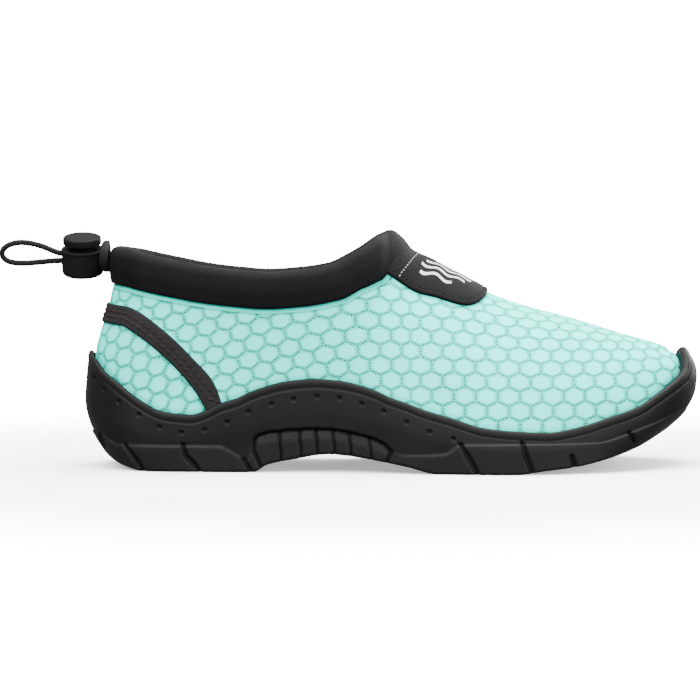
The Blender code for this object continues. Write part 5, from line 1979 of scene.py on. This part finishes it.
def cord_surface():
    """Braided tube along the route, closed at both ends."""
    path = cord_path()
    rings = tube(path, CORD_DIAMETER / 2, 20)
    ends = [path[k] + 0 * rings[k] for k in (0, -1)]
    points = np.concatenate((ends[:1], rings, ends[1:]))
    along = np.concatenate(([0.0], path_lengths(path), [path_lengths(path)[-1]]))
    around = np.linspace(0, TAU, 21) * CORD_DIAMETER / 2
    braid = np.stack(np.meshgrid(along, around, indexing="ij"), axis=-1)
    piece = clean(surface("draw_cord_braided", points - ROW_SHIFT, False, True, {"braid": braid}))
    return piece, path


# Stage


def backdrop_surface():
    """Floor that bends up into a round wall: a profile turned about the z axis.

    The profile is flat, then a quarter circle, then a straight line up to the rim.
    """
    turn = np.linspace(0, np.pi / 2, 12)
    flat = [(radius, 0.0) for radius in FLOOR_RADII]
    bend = [(SWEEP_START + SWEEP_RADIUS * np.sin(t), SWEEP_RADIUS * (1 - np.cos(t))) for t in turn]
    radius, height = np.array(flat + bend + [SWEEP_RIM]).T
    angle = np.linspace(0, TAU, 64, endpoint=False)[:, None]
    level = np.broadcast_to(height, (64, len(height)))
    points = np.stack((radius * np.cos(angle), radius * np.sin(angle), level), axis=-1)
    return surface("studio_backdrop", points - ROW_SHIFT, True)


# Finishes

# Specular level of the black rubber, plastic and cloth, which is duller than most
BLACK_GLOSS = 0.07
# Near black painted into grooves and pits as their shade
GROOVE_PAINTED_SHADE = (0.002, 0.002, 0.002)
# Distance between the loops of each knit or weave
MESH_PITCH = 0.0006
COLLAR_PITCH = 0.0008
TAPE_PITCH = 0.0009
INSOLE_PITCH = 0.0012
BRAID_PITCH = 0.0012
# Fine pores of the mesh across one cell
PORES_ACROSS = 10
# Width of the flat hem under the collar, and of the fold below it
HEM = (0.0021, 0.0018)
FOLD_START = (0.0017, 0.0021)
FOLD_END = (0.0027, 0.0023)
# How far above the sole's lip painted shade darkens the cloth
LIP_SHADE = 0.0035
# How dark the dots, the fold, the edge at the lip, the borders and the pores are. At the fold and at the
# lip the dark is painted shade
DOT_DARK = 0.95
FOLD_DARK = 0.55
LIP_DARK = 0.45
BORDER_DARK = 0.06
PORE_DARK = 0.08

EFFECTS = {
    "honeycomb": honeycomb_group,
    "knit": knit_group,
    "grain": grain_group,
    "wear_and_highlight": wear_and_highlight_group,
}


def effect(name):
    """The named shader group, built on first use."""
    return bpy.data.node_groups.get(name) or EFFECTS[name]()


def opaque(colour):
    """Colour with a full alpha."""
    return (*colour, 1.0)


def shade(colour, factor):
    """Colour with each channel times a factor, and a full alpha."""
    return opaque(channel * factor for channel in colour)


def mesh_fabric(look):
    """Honeycomb mesh: pale cells in deeper cloth, with dark dots along their borders.

    The cells are pillows between sunk borders. Under the collar lies a flat hem
    with a fold. Painted shade darkens the fold and the cloth where it goes in
    behind the sole's lip.
    """
    made, n, inputs = new_material("aqua_mesh", Roughness=0.85, Specular_IOR_Level=0.05)
    cloth = n.uv("cloth")
    rows = {"Cell_Width": look.cell_width, "Row_Height": look.row_height}
    comb = n.use(effect("honeycomb"), Vector=cloth, **rows)
    small = {name: size / PORES_ACROSS for name, size in rows.items()}
    fine = n.use(effect("honeycomb"), Vector=cloth, **small)
    pore = n.ease(fine["Distance"], 0.46, 0.37)
    knit = n.use(effect("knit"), Vector=cloth, Pitch=MESH_PITCH)["Height"]
    patches = n.use(effect("grain"), Vector=n.here(), Coarse=45.0)["Patches"]
    seam, lip = n.value("seam"), n.value("lip")
    deep = opaque(look.pore_and_shade_colour)
    hem = n.ease(seam, *HEM)
    fold = n.times(n.ease(seam, *FOLD_START), n.ease(seam, *FOLD_END))
    plain = n.math("SUBTRACT", 1.0, hem)
    centre = n.times(comb["Centre"], plain)
    uneven = n.ease(n.noise(cloth, 800.0, 1.0), 0.38, 0.56, 0.5, 1.0)
    dots = n.times(comb["Dots"], uneven)
    dark = n.times(n.times(comb["Border"], dots), plain)
    faint = n.times(n.times(pore, n.math("SUBTRACT", 1.0, comb["Centre"])), PORE_DARK)
    colour = n.mix(centre, opaque(look.cloth_colour), opaque(look.cell_colour))
    line = n.times(n.times(comb["Border"], plain), BORDER_DARK)
    colour = n.mix(n.math("MAXIMUM", line, faint), colour, deep)
    colour = n.mix(n.times(dark, DOT_DARK), colour, deep)
    # Painted shade in the fold below the hem
    colour = n.mix(n.times(fold, FOLD_DARK), colour, deep)
    # Painted shade: the cloth darkens towards the sole's lip, where it goes in behind it
    painted_lip_shade = n.times(n.ease(lip, LIP_SHADE, 0.0), LIP_DARK)
    colour = n.mix(painted_lip_shade, colour, deep)
    colour = n.mix(n.times(patches, 0.10), colour, opaque(look.cell_colour))
    n.feed(inputs["Base Color"], colour)
    pillow = n.times(n.ease(comb["Distance"], 0.5, 0.34), plain)
    raised = n.math("ADD", pillow, n.times(knit, 0.10))
    sunk = n.times(n.math("ADD", dark, fold), 0.7)
    n.feed(inputs["Normal"], n.bump(n.math("SUBTRACT", raised, sunk), 0.00045, 0.8))
    return made


def sole_rubber(look):
    """Moulded rubber: satin side wall, browner lugs, lip and panel edges paler by wear and painted
    highlight, painted shade in grooves and pits.
    """
    made, n, inputs = new_material("sole_rubber_moulded", Specular_IOR_Level=BLACK_GLOSS)
    place = n.here()
    grain = n.use(effect("grain"), Vector=place, Fine=2600.0, Coarse=38.0)
    lug, bead, rim = n.value("lug"), n.value("bead"), n.value("rim")
    pit = n.ease(n.value("pit"), 1.05, 0.8)
    groove = n.value("groove")
    colour = n.mix(lug, opaque(look.rubber_colour), opaque(look.lug_colour))
    colour = n.mix(n.times(grain["Patches"], 0.18), colour, opaque(look.worn_and_lit_colour))
    # Painted highlight: the lip's bead is paler, as its rounded top catches light
    colour = n.mix(n.times(bead, 0.75), colour, opaque(look.lip_colour))
    # The paler lug rims and bead are partly wear and partly a painted highlight
    edge = n.math("MAXIMUM", rim, n.times(bead, 0.5))
    rubbed_and_lit = n.use(
        effect("wear_and_highlight"),
        Colour=colour,
        Worn_Colour=opaque(look.worn_and_lit_colour),
        Edge=edge,
        Amount=look.wear_and_highlight,
        Vector=place,
    )
    # Painted shade: grooves and pits are darkened towards near black
    painted_hollow_shade = n.math("MAXIMUM", pit, n.times(groove, 0.9))
    dark = n.mix(painted_hollow_shade, rubbed_and_lit["Colour"], opaque(GROOVE_PAINTED_SHADE))
    n.feed(inputs["Base Color"], dark)
    rough = n.math("MULTIPLY_ADD", grain["Height"], 0.22, 0.42)
    n.feed(inputs["Roughness"], n.math("MULTIPLY_ADD", rubbed_and_lit["Mask"], 0.2, rough))
    n.feed(inputs["Normal"], n.bump(n.math("SUBTRACT", grain["Height"], pit), 0.00012, 0.6))
    return made


def knit_fabric(name, colour, paler, pitch, layer, roughness=0.75):
    """Knitted or woven cloth of one colour, paler by a factor where its loops stand up, as a painted
    highlight, and in random patches.
    """
    made, n, inputs = new_material(name, Specular_IOR_Level=BLACK_GLOSS)
    height = n.use(effect("knit"), Vector=n.uv(layer), Pitch=pitch)["Height"]
    grain = n.use(effect("grain"), Vector=n.here(), Fine=2200.0, Coarse=70.0)
    # Painted highlight on the raised loops, plus random patches
    tone = n.times(n.ease(height, -0.3, 0.6), 0.5)
    tone = n.math("MULTIPLY_ADD", grain["Patches"], 0.3, tone)
    n.feed(inputs["Base Color"], n.mix(tone, opaque(colour), shade(colour, paler)))
    n.feed(inputs["Roughness"], n.math("MULTIPLY_ADD", grain["Height"], 0.2, roughness - 0.1))
    n.feed(inputs["Normal"], n.bump(height, 0.00010, 0.7))
    return made


def moulded_plastic(name, colour, roughness, fine=3000.0):
    """Moulded plastic or rubber with a fine grain and slight clouding."""
    made, n, inputs = new_material(name, Specular_IOR_Level=BLACK_GLOSS, IOR=1.25)
    grain = n.use(effect("grain"), Vector=n.here(), Fine=fine, Coarse=220.0)
    tone = n.times(grain["Patches"], 0.5)
    n.feed(inputs["Base Color"], n.mix(tone, opaque(colour), shade(colour, 1.7)))
    n.feed(inputs["Roughness"], n.math("MULTIPLY_ADD", grain["Height"], 0.18, roughness - 0.09))
    n.feed(inputs["Normal"], n.bump(grain["Height"], 0.00005, 0.5))
    return made


def thread(name, colour):
    """Twisted thread, with fibres of fine noise."""
    made, n, inputs = new_material(name, Roughness=0.7, Specular_IOR_Level=BLACK_GLOSS)
    fibres = n.noise(n.here(), 6000.0, 2.0)
    n.feed(inputs["Base Color"], n.mix(n.ease(fibres, 0.3, 0.7), shade(colour, 0.55), opaque(colour)))
    n.feed(inputs["Normal"], n.bump(fibres, 0.00006, 0.6))
    return made


def braided_cord(colour):
    """Braid: two sets of slanted strands that pass over each other, with painted shade where they go under.
    """
    made, n, inputs = new_material("cord_braid", Roughness=0.62, Specular_IOR_Level=BLACK_GLOSS)
    scaled = n.vector("SCALE", n.uv("braid"))
    scaled.node.inputs["Scale"].default_value = TAU / BRAID_PITCH
    left = n.math("SINE", n.vector("DOT_PRODUCT", scaled, (1.0, 1.0, 0.0)))
    right = n.math("SINE", n.vector("DOT_PRODUCT", scaled, (1.0, -1.0, 0.0)))
    over = n.math("MAXIMUM", left, right)
    # Painted shade: the braid is darker where its strands pass under each other
    n.feed(inputs["Base Color"], n.mix(n.ease(over, -0.4, 0.7), shade(colour, 0.35), opaque(colour)))
    n.feed(inputs["Normal"], n.bump(over, 0.00012, 0.9))
    return made


def plain_floor(colour, glow):
    """Pale floor that glows away from the shoe, as a lit studio sweep does."""
    made, n, inputs = new_material("studio_floor", Roughness=0.9, Specular_IOR_Level=0.0)
    place = n.here()
    tone = n.ease(n.noise(place, 3.0), 0.2, 0.8)
    n.feed(inputs["Base Color"], n.mix(tone, shade(colour, 0.985), opaque(colour)))
    far = n.ease(n.vector("LENGTH", place), *GLOW_REACH)
    n.feed(inputs["Emission Color"], n.mix(far, opaque((NEAR_GLOW,) * 3), opaque(colour)))
    inputs["Emission Strength"].default_value = glow
    return made


# Settings


def colour_setting(name, description, default):
    """Setting that holds a colour."""
    return bpy.props.FloatVectorProperty(
        name=name,
        description=description,
        default=default,
        size=3,
        min=0.0,
        max=1.0,
        subtype="COLOR",
    )


def length_setting(name, description, default):
    """Setting that holds a length in metres."""
    return bpy.props.FloatProperty(
        name=name,
        description=description,
        default=default,
        min=0.0,
        precision=5,
        subtype="DISTANCE",
        unit="LENGTH",
    )


class UpperLook(bpy.types.PropertyGroup):
    """Cloth of the upper."""

    cell_width: length_setting("Cell width", "Distance between the cells of a row", 0.0086)
    row_height: length_setting("Row height", "Distance between the honeycomb's rows", 0.0059)
    cloth_colour: colour_setting("Cloth", "Colour of the cloth between the cells", (0.005, 0.52, 0.41))
    cell_colour: colour_setting("Cells", "Colour of the cells' middles", (0.025, 0.73, 0.62))
    # The pores' colour is also the painted shade of the fold and of the cloth at the sole's lip
    pore_and_shade_colour: colour_setting("Pores", "Colour of the pores and folds", (0.001, 0.040, 0.030))


class SoleLook(bpy.types.PropertyGroup):
    """Rubber of the sole."""

    rubber_colour: colour_setting("Side wall", "Colour of the side wall", (0.0033, 0.0033, 0.0033))
    lug_colour: colour_setting("Lugs", "Colour of the lugs and tread", (0.0066, 0.0059, 0.0055))
    # The lip's paler colour is a painted highlight on the bead
    lip_colour: colour_setting("Lip", "Colour of the lip's bead", (0.0062, 0.0061, 0.0060))
    # Worn colour: rubbed edges, and the painted highlight on lug rims and the bead
    worn_and_lit_colour: colour_setting("Worn", "Colour of rubbed edges", (0.012, 0.0115, 0.011))
    # Wear also scales the painted highlight on lug rims and the bead
    wear_and_highlight: bpy.props.FloatProperty(
        name="Wear", description="How far edges are rubbed", default=0.5, min=0.0, max=1.0, subtype="FACTOR"
    )


class TrimLook(bpy.types.PropertyGroup):
    """Collar, tape, tab, insole, cord and lock."""

    collar_colour: colour_setting("Collar", "Colour of the collar and tab", (0.0014, 0.0014, 0.0015))
    tape_colour: colour_setting("Tape", "Colour of the heel tape", (0.0074, 0.0074, 0.0076))
    tape_thread: colour_setting("Tape thread", "Thread on the heel tape", (0.020, 0.0105, 0.012))
    seam_thread: colour_setting("Seam thread", "Thread along the collar's front", (0.34, 0.34, 0.33))
    edge_thread: colour_setting("Edge thread", "Thread along the tab's edge", (0.012, 0.012, 0.013))
    wave_colour: colour_setting("Waves", "Colour of the tab's wave lines", (0.36, 0.36, 0.355))
    insole_colour: colour_setting("Insole", "Colour of the insole", (0.020, 0.020, 0.022))
    eyelet_colour: colour_setting("Eyelet", "Colour of the rubber eyelet", (0.009, 0.009, 0.0093))
    lock_colour: colour_setting("Lock", "Colour of the cord lock", (0.0045, 0.0045, 0.0047))
    cord_colour: colour_setting("Cord", "Colour of the draw cord", (0.008, 0.008, 0.0083))


class StageLook(bpy.types.PropertyGroup):
    """Floor, lights and camera."""

    floor_colour: colour_setting("Floor", "Colour of the floor and backdrop", (0.90, 0.90, 0.90))
    light: bpy.props.FloatProperty(
        name="Light", description="Brightness of the lamps", default=1.0, min=0.0, max=10.0
    )
    glow: bpy.props.FloatProperty(
        name="Backdrop glow", description="Brightness of the lit backdrop", default=16.0, min=0.0, max=50.0
    )
    camera_distance: length_setting("Camera distance", "From the camera to the shoe", 1.2)
    view_width: length_setting("View width", "Width that the picture covers at the shoe", 0.28)


# Operators


class MakeUpper(bpy.types.Operator):
    """Build the fabric upper."""

    bl_idname = "water_shoe.make_upper"
    bl_label = "Upper"

    def execute(self, context):
        finish_piece(upper_surface(), mesh_fabric(context.scene.upper_look), ["upper"])
        return {"FINISHED"}


class MakeCollar(bpy.types.Operator):
    """Build the padded collar."""

    bl_idname = "water_shoe.make_collar"
    bl_label = "Collar"

    def execute(self, context):
        colour = context.scene.trim_look.collar_colour
        cloth = knit_fabric("collar_knit", colour, 2.6, COLLAR_PITCH, "cloth")
        finish_piece(collar_surface(), cloth, ["collar"])
        return {"FINISHED"}


class MakeHeelTape(bpy.types.Operator):
    """Build the heel tape and its stitches."""

    bl_idname = "water_shoe.make_heel_tape"
    bl_label = "Heel Tape"

    def execute(self, context):
        look = context.scene.trim_look
        cloth = knit_fabric("tape_weave", look.tape_colour, 2.4, TAPE_PITCH, "weave", 0.8)
        finish_piece(tape_surface(), cloth, ["heel_tape"])
        finish_piece(tape_stitches(), thread("tape_thread", look.tape_thread))
        return {"FINISHED"}


class MakeInstepTab(bpy.types.Operator):
    """Build the instep tab, its stitches and its wave lines."""

    bl_idname = "water_shoe.make_instep_tab"
    bl_label = "Instep Tab"

    def execute(self, context):
        look = context.scene.trim_look
        cloth = knit_fabric("tab_knit", look.collar_colour, 2.4, COLLAR_PITCH, "cloth")
        tab, base, angle, up, inset = tab_surface()
        finish_piece(tab, cloth, ["instep_tab"])
        edge = tab_stitches(base, angle, up, inset)
        finish_piece(edge, thread("edge_thread", look.edge_thread))
        finish_piece(seam_stitches(), thread("seam_thread", look.seam_thread))
        finish_piece(motif(), moulded_plastic("wave_print", look.wave_colour, 0.6))
        return {"FINISHED"}


class MakeSole(bpy.types.Operator):
    """Build the moulded sole."""

    bl_idname = "water_shoe.make_sole"
    bl_label = "Sole"

    def execute(self, context):
        finish_piece(sole_surface(), sole_rubber(context.scene.sole_look), ["sole"])
        return {"FINISHED"}


class MakeInsole(bpy.types.Operator):
    """Build the insole."""

    bl_idname = "water_shoe.make_insole"
    bl_label = "Insole"

    def execute(self, context):
        colour = context.scene.trim_look.insole_colour
        cloth = knit_fabric("insole_cover", colour, 1.8, INSOLE_PITCH, "cloth", 0.85)
        insole = finish_piece(insole_surface(), cloth, ["insole"])
        return {"FINISHED"}


class MakeCordLock(bpy.types.Operator):
    """Build the eyelet, and the cord lock's barrel and button."""

    bl_idname = "water_shoe.make_cord_lock"
    bl_label = "Cord Lock"

    def execute(self, context):
        look = context.scene.trim_look
        eyelet = moulded_plastic("eyelet_rubber", look.eyelet_colour, 0.6, 2200.0)
        finish_piece(cord_tab_surface(), eyelet, ["cord_tab"])
        plastic = moulded_plastic("lock_nylon", look.lock_colour, 0.55)
        barrel = set_in_lock(barrel_surface())
        finish_piece(barrel, plastic, ["cord_lock_barrel"])
        button = set_in_lock(button_surface())
        finish_piece(button, plastic, ["cord_lock_button"], "lock_button")
        return {"FINISHED"}


class MakeDrawCord(bpy.types.Operator):
    """Build the draw cord with its loop behind the lock."""

    bl_idname = "water_shoe.make_draw_cord"
    bl_label = "Draw Cord"

    def execute(self, context):
        piece, path = cord_surface()
        finish_piece(piece, braided_cord(context.scene.trim_look.cord_colour), ["draw_cord"])
        tuple(path[0])
        float(path_lengths(path)[-1])
        return {"FINISHED"}


class MakeStage(bpy.types.Operator):
    """Build the floor, the lamps and the camera."""

    bl_idname = "water_shoe.make_stage"
    bl_label = "Stage"

    def execute(self, context):
        scene = context.scene
        look = scene.stage_look
        floor = backdrop_surface()
        floor.data.materials.append(plain_floor(look.floor_colour, look.glow))
        floor.visible_diffuse = False
        floor.visible_glossy = False
        floor.visible_shadow = False
        for name, place, size, power in LAMPS:
            lamp = bpy.data.lights.new(name, "AREA")
            lamp.size = size
            lamp.energy = power * look.light
            holder = bpy.data.objects.new(name, lamp)
            holder.location = place
            holder.rotation_euler = (AIM - Vector(place)).to_track_quat("-Z", "Y").to_euler()
            scene.collection.objects.link(holder)
        world = bpy.data.worlds.new("studio")
        world.use_nodes = True
        background = world.node_tree.nodes["Background"].inputs
        background["Color"].default_value = (1.0, 1.0, 1.0, 1.0)
        background["Strength"].default_value = ROOM_LIGHT * look.light
        scene.world = world
        lens = bpy.data.cameras.new("photo_camera")
        lens.sensor_width = SENSOR_WIDTH
        lens.lens = lens.sensor_width * look.camera_distance / look.view_width
        camera = bpy.data.objects.new("photo_camera", lens)
        back = Vector((0.0, -np.cos(CAMERA_TILT), np.sin(CAMERA_TILT)))
        camera.location = AIM + back * look.camera_distance
        camera.rotation_euler = (-back).to_track_quat("-Z", "Y").to_euler()
        scene.collection.objects.link(camera)
        scene.camera = camera
        return {"FINISHED"}


OPERATORS = (
    MakeStage,
    MakeCordLock,
    MakeDrawCord,
    MakeSole,
    MakeUpper,
    MakeCollar,
    MakeHeelTape,
    MakeInstepTab,
    MakeInsole,
)
LOOKS = {
    "upper_look": UpperLook,
    "sole_look": SoleLook,
    "trim_look": TrimLook,
    "stage_look": StageLook,
}


class WaterShoePanel(bpy.types.Panel):
    """Buttons that build the shoe, and its settings."""

    bl_idname = "VIEW3D_PT_water_shoe"
    bl_label = "Water Shoe"
    bl_space_type = "VIEW_3D"
    bl_region_type = "UI"
    bl_category = "Water Shoe"

    def draw(self, context):
        """A button for each operator, then the settings of each group."""
        for operator in OPERATORS:
            self.layout.operator(operator.bl_idname)
        for name, group in LOOKS.items():
            look = getattr(context.scene, name)
            box = self.layout.box()
            for setting in group.__annotations__:
                box.prop(look, setting)


def register():
    """Register the settings, the operators and the panel."""
    for group in LOOKS.values():
        bpy.utils.register_class(group)
    for name, group in LOOKS.items():
        setattr(bpy.types.Scene, name, bpy.props.PointerProperty(type=group))
    for operator in OPERATORS:
        bpy.utils.register_class(operator)
    bpy.utils.register_class(WaterShoePanel)


def unregister():
    """Take them out again."""
    bpy.utils.unregister_class(WaterShoePanel)
    for operator in reversed(OPERATORS):
        bpy.utils.unregister_class(operator)
    for name, group in LOOKS.items():
        delattr(bpy.types.Scene, name)
        bpy.utils.unregister_class(group)


def main():
    """Build everything in order."""
    register()
    for operator in OPERATORS:
        getattr(bpy.ops.water_shoe, operator.bl_idname.split(".")[1])()


if __name__ == "__main__":
    main()
